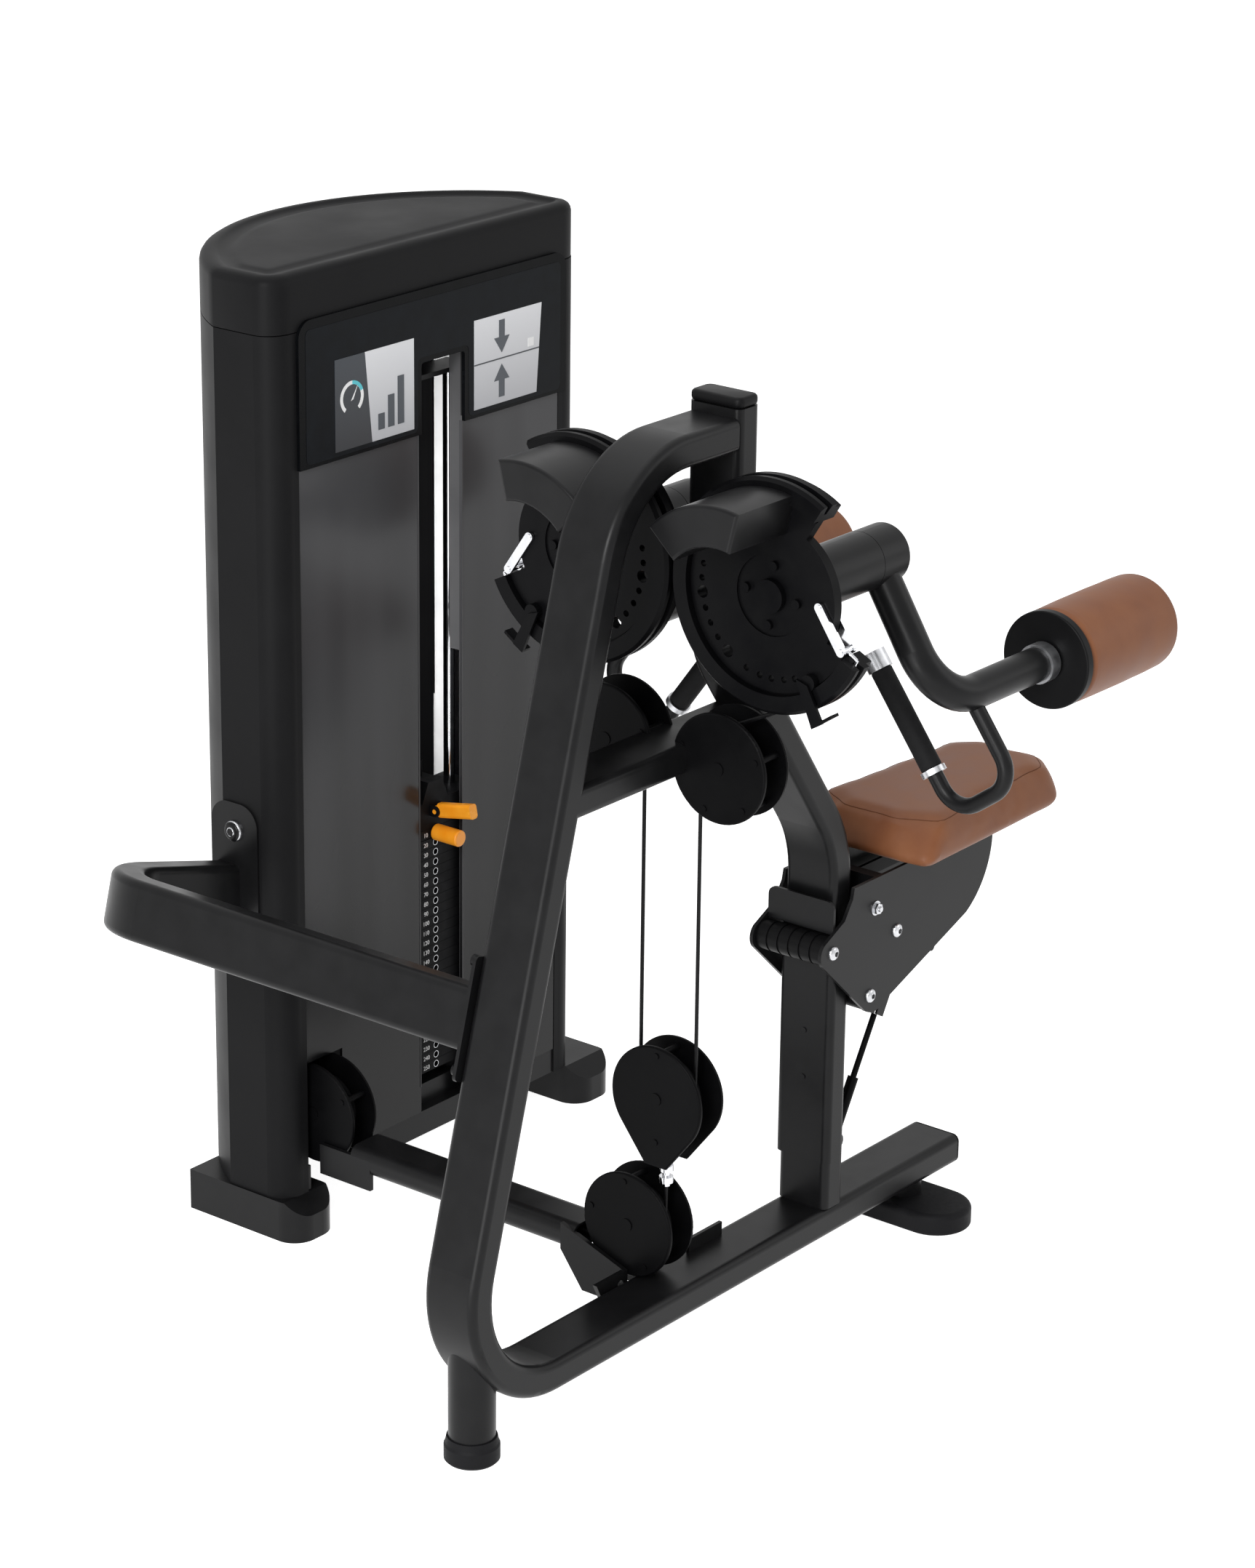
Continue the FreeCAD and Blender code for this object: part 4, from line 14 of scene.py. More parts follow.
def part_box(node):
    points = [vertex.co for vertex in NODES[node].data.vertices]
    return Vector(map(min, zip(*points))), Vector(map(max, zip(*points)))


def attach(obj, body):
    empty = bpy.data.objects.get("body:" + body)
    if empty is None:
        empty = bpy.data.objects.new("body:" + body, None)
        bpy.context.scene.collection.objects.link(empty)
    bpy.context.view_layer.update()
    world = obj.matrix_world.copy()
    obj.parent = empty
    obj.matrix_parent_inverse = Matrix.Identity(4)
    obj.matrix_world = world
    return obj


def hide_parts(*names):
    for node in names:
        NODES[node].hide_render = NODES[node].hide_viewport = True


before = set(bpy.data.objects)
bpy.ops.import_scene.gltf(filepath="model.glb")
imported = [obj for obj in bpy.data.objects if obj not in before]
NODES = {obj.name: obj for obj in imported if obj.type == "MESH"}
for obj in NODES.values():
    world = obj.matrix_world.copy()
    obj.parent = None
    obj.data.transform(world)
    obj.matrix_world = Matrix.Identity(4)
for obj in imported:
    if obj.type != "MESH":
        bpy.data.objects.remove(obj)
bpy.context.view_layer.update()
MM = 0.001


def mm(*sizes):
    """Millimetres to a tuple of metres."""
    return tuple(size * MM for size in sizes)


# The photograph's view: a long lens from the front left, 20 degrees above the horizon
LENS_MM = 126.32
SENSOR_MM = 36.0
CAMERA_PLACE = (-4.3859, -3.72535, 3.155)
CAMERA_TURN = (0.7391985, 0.5142083, -0.2538026, -0.3532133)
NEAREST_SEEN = 0.1
FARTHEST_SEEN = 60.0


def place_camera():
    lens = bpy.data.cameras.new("camera")
    lens.sensor_fit = "HORIZONTAL"
    lens.sensor_width = SENSOR_MM
    lens.lens = LENS_MM
    lens.clip_start = NEAREST_SEEN
    lens.clip_end = FARTHEST_SEEN
    camera = bpy.data.objects.new("camera", lens)
    bpy.context.collection.objects.link(camera)
    camera.location = CAMERA_PLACE
    camera.rotation_mode = "QUATERNION"
    camera.rotation_quaternion = CAMERA_TURN
    bpy.context.scene.camera = camera


# Finishes
def linear(hex_colour):
    """sRGB hex to linear RGBA."""
    shares = [int(hex_colour[i:i + 2], 16) / 255 for i in (1, 3, 5)]
    return tuple(s / 12.92 if s <= 0.04045 else ((s + 0.055) / 1.055) ** 2.4 for s in shares) + (1.0,)


def add(owner, kind, inputs=None, **settings):
    """Adds a node to a material or world; inputs maps a socket to a value or to another node's output."""
    tree = owner.node_tree
    node = tree.nodes.new(kind)
    for name, value in settings.items():
        setattr(node, name, value)
    for name, value in (inputs or {}).items():
        if isinstance(value, bpy.types.NodeSocket):
            tree.links.new(value, node.inputs[name])
        else:
            node.inputs[name].default_value = value
    return node


def plug(owner, socket, target):
    owner.node_tree.links.new(socket, target)


def new_finish(name, **sockets):
    """A Principled material with its even values set; returns it, its shader and the Object coordinates."""
    material = bpy.data.materials.new(name)
    material.use_nodes = True
    shader = material.node_tree.nodes["Principled BSDF"]
    for socket, value in sockets.items():
        shader.inputs[socket.replace("_", " ")].default_value = value
    place = add(material, "ShaderNodeTexCoord").outputs["Object"]
    return material, shader, place


def speckle(material, place, grain_mm, **sockets):
    """Noise with grains of grain_mm."""
    inputs = {"Vector": place, "Scale": 1 / (grain_mm * MM), **sockets}
    return add(material, "ShaderNodeTexNoise", inputs).outputs["Fac"]


def blend(material, share, dark, light):
    """Colour between two sRGB hex values, by a pattern from 0 to 1."""
    tone = add(material, "ShaderNodeMix", {0: share, 6: linear(dark), 7: linear(light)}, data_type="RGBA")
    return tone.outputs[2]


def tinted(material, shader, place, dark, light, grain_mm, low=0.3, high=0.7):
    """Base colour drifts between two near tones over patches of grain_mm."""
    patches = speckle(material, place, grain_mm, Detail=4.0)
    share = add(material, "ShaderNodeMapRange", {"Value": patches, "From Min": low, "From Max": high})
    plug(material, blend(material, share.outputs[0], dark, light), shader.inputs["Base Color"])
    return patches


def dulled(material, shader, pattern, rough_low, rough_high):
    """Roughness follows a pattern between two values."""
    span = add(material, "ShaderNodeMapRange", {"Value": pattern, "From Min": 0.3, "From Max": 0.7,
                                                "To Min": rough_low, "To Max": rough_high})
    plug(material, span.outputs[0], shader.inputs["Roughness"])


def embossed(material, shader, pattern, height_mm, strength=1.0, after=None):
    """Relief of height_mm from a pattern, laid over an earlier relief."""
    inputs = {"Height": pattern, "Distance": height_mm * MM, "Strength": strength}
    if after:
        inputs["Normal"] = after
    relief = add(material, "ShaderNodeBump", inputs)
    plug(material, relief.outputs[0], shader.inputs["Normal"])
    return relief.outputs[0]


def powder_coat(name, dark, light, rough, shine):
    """Powder-coated steel: an oven-cured satin film whose slight orange peel softens highlights on the tubes."""
    material, shader, place = new_finish(name, Specular_IOR_Level=shine, IOR=1.5)
    patches = tinted(material, shader, place, dark, light, grain_mm=45.0)
    dulled(material, shader, patches, rough - 0.03, rough + 0.04)
    # Orange peel is 1 to 2 mm across; drawn at 2.2 mm so that it shows
    peel = speckle(material, place, 2.2, Detail=2.0, Roughness=0.4)
    embossed(material, shader, peel, height_mm=0.035)
    return material


def moulded_abs(name, dark, light, rough, shine, grain_mm, height_mm):
    """Moulded ABS or nylon: matt skin with the tool's fine spark grain, which breaks reflections into a haze."""
    material, shader, place = new_finish(name, Specular_IOR_Level=shine, IOR=1.52)
    patches = tinted(material, shader, place, dark, light, grain_mm=120.0)
    dulled(material, shader, patches, rough - 0.03, rough + 0.05)
    # Spark grain is finer than 0.5 mm; drawn at about 1.1 mm so that it shows
    embossed(material, shader, speckle(material, place, grain_mm, Detail=3.0), height_mm)
    return material


def cast_iron(name, dark, light):
    """Cast iron under matt paint: fine sand-cast skin and a dull, uneven film."""
    material, shader, place = new_finish(name, Specular_IOR_Level=0.08)
    patches = tinted(material, shader, place, dark, light, grain_mm=18.0)
    dulled(material, shader, patches, 0.5, 0.66)
    # Sand pits are under 1 mm; drawn at 1.6 mm so that they show
    embossed(material, shader, speckle(material, place, 1.6, Detail=4.0, Roughness=0.6), height_mm=0.02)
    return material


def worked_metal(name, dark, light, rough, tool_mark_mm=0.0):
    """Chromed, zinc-plated, brushed or oxide-blackened metal: a mirror under a faint haze, or with tool marks."""
    material, shader, place = new_finish(name, Metallic=1.0)
    haze = tinted(material, shader, place, dark, light, grain_mm=14.0)
    dulled(material, shader, haze, rough, rough + 0.07)
    if tool_mark_mm:
        # Tool marks are about 0.1 mm apart; drawn at 0.7 mm or more so that they show
        embossed(material, shader, speckle(material, place, tool_mark_mm, Detail=3.0), height_mm=0.02)
    return material


def black_rubber(name, dark, light, rough, stipple_mm=1.6):
    """Moulded rubber: soft black with almost no gloss and a dusty, stippled skin."""
    material, shader, place = new_finish(name, Specular_IOR_Level=0.12, IOR=1.52)
    patches = tinted(material, shader, place, dark, light, grain_mm=9.0)
    dulled(material, shader, patches, rough - 0.06, rough + 0.06)
    stipple = add(material, "ShaderNodeTexVoronoi", {"Vector": place, "Scale": 1 / (stipple_mm * MM)},
                  feature="F1")
    embossed(material, shader, stipple.outputs["Distance"], height_mm=0.08, strength=0.6)
    return material


def tan_leather(name):
    """Coated upholstery leather: pebbled grain about 1.5 mm wide over soft creases, in an even tan brown."""
    material, shader, place = new_finish(name, Specular_IOR_Level=0.3, IOR=1.48)
    patches = tinted(material, shader, place, "#7c4a2e", "#8c5a3b", grain_mm=60.0, low=0.25, high=0.75)
    dulled(material, shader, patches, 0.42, 0.52)
    creases = speckle(material, place, 14.0, Detail=5.0, Roughness=0.5)
    first = embossed(material, shader, creases, height_mm=0.3, strength=0.3)
    # Pebbles drawn at 1.9 mm so that they show
    pebbles = add(material, "ShaderNodeTexVoronoi",
                  {"Vector": place, "Scale": 1 / (1.9 * MM), "Randomness": 0.9}, feature="SMOOTH_F1")
    embossed(material, shader, pebbles.outputs["Distance"], height_mm=0.1, strength=0.4, after=first)
    return material


def smoked_acrylic(name):
    """Smoked acrylic sheet: glossy grey; its smoke tint carries a painted reflection, darker towards the floor
    and lighter in soft upright bands.
    """
    material, shader, place = new_finish(name, IOR=1.49, Specular_IOR_Level=0.14, Transmission_Weight=0.25)
    # The painted reflection's upright bands are 90 mm wide and stretched about 12 times along the height
    upright = add(material, "ShaderNodeMapping", {"Vector": place, "Scale": (1.0, 1.0, 0.08)})
    reflection_streaks = speckle(material, upright.outputs[0], 90.0, Detail=1.0)
    height = add(material, "ShaderNodeSeparateXYZ", {"Vector": place}).outputs["Z"]
    # Painted reflection: height in metres plus up to 0.9 m of streak, painted dark below 0.85 and light above
    # 1.75
    bright = add(material, "ShaderNodeMath", {0: reflection_streaks, 1: 0.9, 2: height}, operation="MULTIPLY_ADD")
    share = add(material, "ShaderNodeMapRange",
                {"Value": bright.outputs[0], "From Min": 0.85, "From Max": 1.75})
    # Base colour: the smoke tint with a painted reflection, dark low down, light high up and in the upright bands
    plug(material, blend(material, share.outputs[0], "#101011", "#4e4e50"), shader.inputs["Base Color"])
    dulled(material, shader, reflection_streaks, 0.14, 0.22)
    return material


def gloss_plastic(name, dark, light, rough, shine):
    """Glossy moulded plastic with a slight sink wave under its shine."""
    material, shader, place = new_finish(name, Specular_IOR_Level=shine, IOR=1.49)
    patches = tinted(material, shader, place, dark, light, grain_mm=30.0)
    dulled(material, shader, patches, rough - 0.03, rough + 0.05)
    embossed(material, shader, speckle(material, place, 16.0, Detail=1.0), height_mm=0.08, strength=0.4)
    return material


def printed_film(name, low_colour, high_colour, low_z, high_z):
    """Screen-printed polycarbonate film: satin face whose colour runs from one tone at the lower height to
    another at the upper one.
    """
    material, shader, place = new_finish(name, Specular_IOR_Level=0.4, IOR=1.58)
    height = add(material, "ShaderNodeSeparateXYZ", {"Vector": place}).outputs["Z"]
    fade = add(material, "ShaderNodeMapRange", {"Value": height, "From Min": low_z, "From Max": high_z})
    plug(material, blend(material, fade.outputs[0], low_colour, high_colour), shader.inputs["Base Color"])
    dulled(material, shader, speckle(material, place, 3.0, Detail=2.0), 0.3, 0.4)
    return material


PLACARD_Z = mm(1301, 1448)

FRAME_COAT = powder_coat("charcoal_powder_coat", "#121213", "#171718", rough=0.33, shine=0.16)
BLACK_COAT = powder_coat("black_powder_coat", "#08080a", "#0d0d0e", rough=0.36, shine=0.06)
GUARD_COAT = powder_coat("guard_powder_coat", "#070708", "#0b0b0c", rough=0.42, shine=0.05)
STRIP_COAT = powder_coat("light_grey_coat", "#c2c2c2", "#cecece", rough=0.5, shine=0.3)
PLATE_IRON = cast_iron("painted_cast_iron", "#08080a", "#0e0e0f")
RACK_STEEL = worked_metal("black_oxide_steel", "#2a2a2c", "#38383a", rough=0.38, tool_mark_mm=0.8)
CHROME = worked_metal("polished_chrome", "#c6c7ca", "#dcdde0", rough=0.08)
ALLOY = worked_metal("satin_aluminium", "#c4c5c8", "#d8d9dc", rough=0.3, tool_mark_mm=0.7)
ZINC = worked_metal("bright_zinc", "#b9babd", "#cfd0d3", rough=0.22, tool_mark_mm=0.7)
WHEEL_NYLON = moulded_abs("black_nylon", "#0b0b0c", "#111112", rough=0.42, shine=0.1,
                          grain_mm=1.2, height_mm=0.02)
COVER_ABS = moulded_abs("charcoal_abs", "#161617", "#1a1a1b", rough=0.46, shine=0.06,
                        grain_mm=1.1, height_mm=0.015)
JAMB_ABS = moulded_abs("slot_jamb_grey", "#3c3c3d", "#464647", rough=0.5, shine=0.2,
                       grain_mm=1.1, height_mm=0.015)
PANEL_ABS = gloss_plastic("panel_gloss_black", "#08090a", "#0b0c0e", rough=0.24, shine=0.06)
INSERT_ABS = gloss_plastic("panel_insert", "#0c0e11", "#111418", rough=0.34, shine=0.07)
ORANGE = gloss_plastic("orange_plastic", "#f5941a", "#fba82e", rough=0.24, shine=0.45)
SMOKE = smoked_acrylic("smoked_acrylic")
FOOT_RUBBER = black_rubber("foot_rubber", "#101012", "#161618", rough=0.62)
GRIP_RUBBER = black_rubber("grip_rubber", "#161617", "#1e1e1f", rough=0.66, stipple_mm=1.4)
CABLE_COAT = black_rubber("nylon_cable_coat", "#0c0c0d", "#121213", rough=0.4)
THREAD = black_rubber("bonded_thread", "#5f3822", "#6f4630", rough=0.6)
TAN = tan_leather("tan_upholstery_leather")
PALE_FILM = printed_film("pale_grey_film", "#b8b9bd", "#e6e7ea", *PLACARD_Z)
NAVY_FILM = printed_film("dark_navy_film", "#15181e", "#222a33", *PLACARD_Z)
CYAN_INK = printed_film("cyan_ink", "#43b6c4", "#5ccbd6", *PLACARD_Z)
WHITE_INK = printed_film("white_ink", "#e6e6e6", "#f2f2f2", 0.0, 1.5)
SLATE_INK = printed_film("slate_ink", "#30353c", "#3c424a", 0.0, 1.5)

FINISH_OF = {
    FRAME_COAT: ["base_tube", "leg_tube", "top_tube", "seat_column", "crossbar", "pivot_bracket",
                 "link_bracket", "guard_rail", "column_sleeve", "tower_frame", "tower_feet", "arm_left",
                 "arm_right", "counterweight_left", "counterweight_right", "seat_frame"],
    BLACK_COAT: ["strut", "seat_lever", "cam_left", "cam_right"],
    GUARD_COAT: ["pulley_guards", "float_plates"],
    PLATE_IRON: ["stack_plates", "stack_head"],
    RACK_STEEL: ["seat_rack"],
    CHROME: ["guide_rods", "float_connector", "cable_end_left", "cable_end_right"],
    ALLOY: ["trims_left", "trims_right"],
    WHEEL_NYLON: ["tube_caps", "roller_caps_left", "roller_caps_right", "upper_wheel_left",
                  "upper_wheel_right", "top_wheel_left", "top_wheel_right", "float_wheel", "low_wheel",
                  "tower_wheel", "seat_roller_front", "seat_roller_low"],
    COVER_ABS: ["tower_cover", "tower_cap"],
    PANEL_ABS: ["info_panel"],
    SMOKE: ["smoked_panels"],
    ORANGE: ["selector_pin", "addon_lever", "lever_knob"],
    FOOT_RUBBER: ["rubber_feet"],
    GRIP_RUBBER: ["grip_left", "grip_right"],
    CABLE_COAT: ["cables_fixed", "cables_drop", "cable_riser", "cable_stack"],
    TAN: ["seat_pad", "roller_left", "roller_right"],
}
for finish, names in FINISH_OF.items():
    for name in names:
        NODES[name].data.materials.clear()
        NODES[name].data.materials.append(finish)


# Ways of making pieces
def linked(name, data):
    obj = bpy.data.objects.new(name, data)
    bpy.context.collection.objects.link(obj)
    return obj


def piece(name, mesh, finish, body, smooth_deg=40.0):
    """Turns a bmesh into an object with its normals outwards, its finish and its body."""
    bmesh.ops.remove_doubles(mesh, verts=mesh.verts, dist=1e-6)
    bmesh.ops.recalc_face_normals(mesh, faces=mesh.faces)
    data = bpy.data.meshes.new(name)
    mesh.to_mesh(data)
    mesh.free()
    data.materials.append(finish)
    data.shade_smooth()
    data.set_sharp_from_angle(angle=math.radians(smooth_deg))
    obj = linked(name, data)
    if body:
        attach(obj, body)
    return obj


def turned(mesh, profile, start, axis, steps=48):
    """Spins a profile of (radius, distance along the axis) points about an axis from start."""
    direction = Vector(axis).normalized()
    side = direction.orthogonal().normalized()
    origin = Vector(start)
    verts = [mesh.verts.new(origin + direction * along + side * radius) for radius, along in profile]
    edges = [mesh.edges.new(pair) for pair in zip(verts, verts[1:])]
    bmesh.ops.spin(mesh, geom=verts + edges, cent=origin, axis=direction, angle=math.tau, steps=steps,
                   use_merge=True)


def rounded(mesh, edges, radius, segments):
    return bmesh.ops.bevel(mesh, geom=edges, offset=radius, segments=segments, profile=0.5, affect="EDGES",
                           material=-1)


RIM_ANGLE = 1.2


def block(mesh, low, high, corner=0.0, along=2, edge=0.0):
    """Box between two corners, its edges along one axis rounded by corner and the rims across it by edge."""
    centre = (Vector(low) + Vector(high)) / 2
    size = Vector(high) - Vector(low)
    place = Matrix.Translation(centre) @ Matrix.Diagonal((*size, 1.0))
    verts = bmesh.ops.create_cube(mesh, size=1.0, matrix=place)["verts"]

    def run(e):
        """How far an edge goes along the axis."""
        return abs((e.verts[0].co - e.verts[1].co)[along])

    if corner:
        upright = [e for e in {e for v in verts for e in v.link_edges} if run(e) > size[along] / 2]
        done = rounded(mesh, upright, corner, segments=6)
        verts = list({v for f in done["faces"] for v in f.verts} | {v for v in verts if v.is_valid})
    if edge:
        rims = [e for e in {e for v in verts for e in v.link_edges}
                if run(e) < size[along] * 0.01 and e.calc_face_angle(0) > RIM_ANGLE]
        rounded(mesh, rims, edge, segments=3)


def flat_shape(mesh, outline, y, thickness):
    """Prism of an outline of (x, z) points, from y towards the front."""
    face = mesh.faces.new([mesh.verts.new((x, y, z)) for x, z in outline])
    grown = bmesh.ops.extrude_face_region(mesh, geom=[face])
    verts = [g for g in grown["geom"] if isinstance(g, bmesh.types.BMVert)]
    bmesh.ops.translate(mesh, verts=verts, vec=(0, -thickness, 0))


def box_outline(x0, z0, x1, z1):
    return [(x0, z0), (x1, z0), (x1, z1), (x0, z1)]


def arc(centre, radius, from_deg, to_deg, steps):
    """Points of an arc in a plane."""
    turns = [math.radians(from_deg + (to_deg - from_deg) * i / steps) for i in range(steps + 1)]
    return [(centre[0] + radius * math.cos(t), centre[1] + radius * math.sin(t)) for t in turns]


def baked(obj):
    """Mesh of an object with its modifiers applied."""
    bpy.context.view_layer.update()
    return bpy.data.meshes.new_from_object(obj.evaluated_get(bpy.context.evaluated_depsgraph_get()))


def applied(obj):
    """Replaces an object's mesh by the one that its modifiers make."""
    obj.data = baked(obj)
    obj.modifiers.clear()


# Upholstery
SEAT = NODES["seat_pad"]
SEAT_LOW, SEAT_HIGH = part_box("seat_pad")
CUSHION_VOXEL = 4.5 * MM
CUSHION_SHRINK = 2.0 * MM
CUSHION_SWELL = 2.5 * MM
CUSHION_PRESSURE = 4.0
CUSHION_FRAMES = 16
CUSHION_SOFTEN = 6
CUSHION_SETTLE = 16


def seat_cushion():
    """Seat cushion: the solid's form, remeshed fine and blown up a little as cloth, flat where it rests."""
    mesh = bmesh.new()
    mesh.from_mesh(SEAT.data)
    bmesh.ops.remove_doubles(mesh, verts=mesh.verts, dist=1e-5)
    for vert in mesh.verts:
        vert.normal_update()
    for vert in mesh.verts:
        vert.co -= vert.normal * CUSHION_SHRINK
    obj = piece("seat_cushion", mesh, TAN, None)
    even = obj.modifiers.new("even", "REMESH")
    even.mode = "VOXEL"
    even.voxel_size = CUSHION_VOXEL
    obj.modifiers.new("soft", "SMOOTH").iterations = CUSHION_SOFTEN
    applied(obj)
    start = [v.co.copy() for v in obj.data.vertices]
    swell = obj.modifiers.new("swell", "CLOTH").settings
    swell.use_pressure = True
    swell.uniform_pressure_force = CUSHION_PRESSURE
    swell.effector_weights.gravity = 0.0
    for step in range(1, CUSHION_FRAMES + 1):
        bpy.context.scene.frame_set(step)
    moved = baked(obj)
    obj.modifiers.clear()
    bpy.context.scene.frame_set(1)
    for vert, blown, at in zip(obj.data.vertices, moved.vertices, start):
        way = blown.co - at
        vert.co = at + way * min(1.0, CUSHION_SWELL / max(way.length, 1e-9))
    for vert in obj.data.vertices:
        vert.co.z = min(max(vert.co.z, SEAT_LOW[2]), SEAT_HIGH[2] + CUSHION_SWELL)
    obj.modifiers.new("settled", "SMOOTH").iterations = CUSHION_SETTLE
    finer = obj.modifiers.new("finer", "SUBSURF")
    finer.levels = finer.render_levels = 1
    applied(obj)
    obj.data.shade_smooth()
    obj.data.materials.clear()
    obj.data.materials.append(TAN)
    return obj


SEAM_DROP = 7.0 * MM
SEAM_R = 0.9 * MM
SEAM_SUNK = SEAM_R * 0.3
SEAM_STEP_DEG = 3


def seat_seam(cushion):
    """Sewn line round the cushion below its top: a fine thread half sunk in the leather."""
    tree = BVHTree.FromPolygons([v.co for v in cushion.data.vertices],
                                [p.vertices for p in cushion.data.polygons])
    middle = Vector(((SEAT_LOW[0] + SEAT_HIGH[0]) / 2, 0, SEAT_HIGH[2] - SEAM_DROP))
    spots = []
    for turn in range(0, 360, SEAM_STEP_DEG):
        way = Vector((math.cos(math.radians(turn)), math.sin(math.radians(turn)), 0))
        hit = tree.ray_cast(middle + way, -way)[0]
        if hit:
            spots.append(hit - way * SEAM_SUNK)
    curve = bpy.data.curves.new("seat_seam", "CURVE")
    curve.dimensions = "3D"
    curve.bevel_depth = SEAM_R
    curve.bevel_resolution = 2
    line = curve.splines.new("POLY")
    line.points.add(len(spots) - 1)
    for point, spot in zip(line.points, spots):
        point.co = (*spot, 1.0)
    line.use_cyclic_u = True
    source = linked("seat_seam", curve)
    data = baked(source)
    bpy.data.objects.remove(source)
    data.materials.clear()
    data.materials.append(THREAD)
    return linked("seat_seam", data)


ROLLER_END_R = 16.0 * MM
ROLLER_CROWN = 1.5 * MM
ROLLER_SEAM_IN = 17.0 * MM
ROLLER_SEAM_HALF = 1.6 * MM
ROLLER_SEAM_DEEP = 0.9 * MM
ROLLER_RIPPLE = 0.35 * MM
ROLLER_RIPPLES_PER_M = 28
# The sleeve's flat ends run from the hole's share of the radius to the rim's, and the rim stands out a little
ROLLER_HOLE = 0.6
ROLLER_RIM = 0.78
ROLLER_RIM_OUT = 0.2 * MM
ROLLER_RINGS = 84
ROLLER_SIDES = 96
ROLLER_SMOOTH_DEG = 80.0


def leather_roller(side):
    """Padded roller: crowned sleeve rolled in at both ends, with a sunk seam round each end."""
    low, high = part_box("roller_" + side)
    centre = (Vector(low) + Vector(high)) / 2
    radius = (high[2] - low[2]) / 2 - ROLLER_CROWN
    length = high[0] - low[0]
    profile = [(radius * ROLLER_HOLE, 0.0), (radius * ROLLER_RIM, -ROLLER_RIM_OUT)]
    for i in range(1, ROLLER_RINGS):
        along = length * i / ROLLER_RINGS
        edge = min(along, length - along)
        drop = ROLLER_END_R - math.sqrt(ROLLER_END_R ** 2 - max(0.0, ROLLER_END_R - edge) ** 2)
        crown = ROLLER_CROWN * (1 - (2 * i / ROLLER_RINGS - 1) ** 2)
        seam = ROLLER_SEAM_DEEP * max(0.0, 1 - abs(edge - ROLLER_SEAM_IN) / ROLLER_SEAM_HALF)
        profile.append((radius + crown - drop - seam, along))
    profile += [(radius * ROLLER_RIM, length + ROLLER_RIM_OUT), (radius * ROLLER_HOLE, length)]
    mesh = bmesh.new()
    turned(mesh, profile, (low[0], centre.y, centre.z), (1, 0, 0), ROLLER_SIDES)
    for vert in mesh.verts:
        out = Vector((0, vert.co.y - centre.y, vert.co.z - centre.z)).normalized()
        vert.co += out * ROLLER_RIPPLE * noise.noise(vert.co * ROLLER_RIPPLES_PER_M)
    return piece("pad_sleeve_" + side, mesh, TAN, "pad_" + side, ROLLER_SMOOTH_DEG)


# Bolts: heads are shaped in shares of their own radius and height
HEAD_SIDES = 32
DOME_TURNS = (0.0, 0.3, 0.6, 0.9, 1.15)
DOME_SKIRT = 0.25
SOCKET_R = 0.36
SOCKET_TAPER = 0.94
SOCKET_RIM_Z = 0.45
SOCKET_FLOOR_Z = 0.4


def button_head(mesh, place, axis, radius, height):
    """Round domed head with a sunk socket."""
    dome = [(radius * math.cos(t), height * (DOME_SKIRT + (1 - DOME_SKIRT) * math.sin(t)))
            for t in DOME_TURNS]
    socket = radius * SOCKET_R
    profile = [(radius, 0.0)] + dome + [(socket, height), (socket * SOCKET_TAPER, height * SOCKET_RIM_Z),
                                        (0.0, height * SOCKET_FLOOR_Z)]
    turned(mesh, profile, place, axis, HEAD_SIDES)


WASHER_R = 1.25
WASHER_T = 0.25
HEX_CHAMFER_R = 0.86
HEX_CHAMFER_Z = 0.85
STUB_R = (0.5, 0.44)
STUB_Z = 1.4
STUB_SIDES = 20


def hex_head(mesh, place, axis, radius, height):
    """Hexagon head on a round washer, with the bolt's end standing out of it."""
    washer_r, washer_t = radius * WASHER_R, height * WASHER_T
    base = Vector(place) + Vector(axis) * washer_t
    washer = [(0.0, 0.0), (washer_r, 0.0), (washer_r, washer_t), (0.0, washer_t)]
    head = [(0.0, 0.0), (radius, 0.0), (radius, height * HEX_CHAMFER_Z), (radius * HEX_CHAMFER_R, height),
            (0.0, height)]
    stub = [(0.0, height), (radius * STUB_R[0], height), (radius * STUB_R[1], height * STUB_Z),
            (0.0, height * STUB_Z)]
    turned(mesh, washer, place, axis, HEAD_SIDES)
    turned(mesh, head, base, axis, 6)
    turned(mesh, stub, base, axis, STUB_SIDES)


CARRIAGE_FACE = 69.0 * MM
HEX_SPOT = mm(894, 618)
HEX_SIZE = mm(9.5, 7)
BUTTON_SPOTS = (mm(954, 562), mm(782.5, 576), mm(886, 472))
BUTTON_SIZE = mm(11.5, 7)
RAIL_BOLT_SPOT = mm(353, 793, 693)
RAIL_BOLT_SIZE = mm(17.6, 9.8)


def carriage_bolts():
    """Bright bolts on both side plates of the seat carriage."""
    mesh = bmesh.new()
    for side in (-1, 1):
        y = side * CARRIAGE_FACE
        hex_head(mesh, (HEX_SPOT[0], y, HEX_SPOT[1]), (0, side, 0), *HEX_SIZE)
        for x, z in BUTTON_SPOTS:
            button_head(mesh, (x, y, z), (0, side, 0), *BUTTON_SIZE)
    return piece("carriage_bolts", mesh, ZINC, "carriage")


def rail_bolt():
    """Large bolt that holds the guard rail's flange on the tower."""
    mesh = bmesh.new()
    button_head(mesh, RAIL_BOLT_SPOT, (-1, 0, 0), *RAIL_BOLT_SIZE)
    return piece("rail_bolt", mesh, ZINC, "frame")


# Front panel with its slot
PANEL_LOW, PANEL_HIGH = [Vector(c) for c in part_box("info_panel")]
SLOT_X = mm(695, 800)
SLOT_TOP = 1404.0 * MM
INSERT_IN = 15.0 * MM
INSERT_IN_LOW = 6.0 * MM
INSERT_GAP = 9.0 * MM
INSERT_CORNER = 10.0 * MM
FILM_T = 0.5 * MM


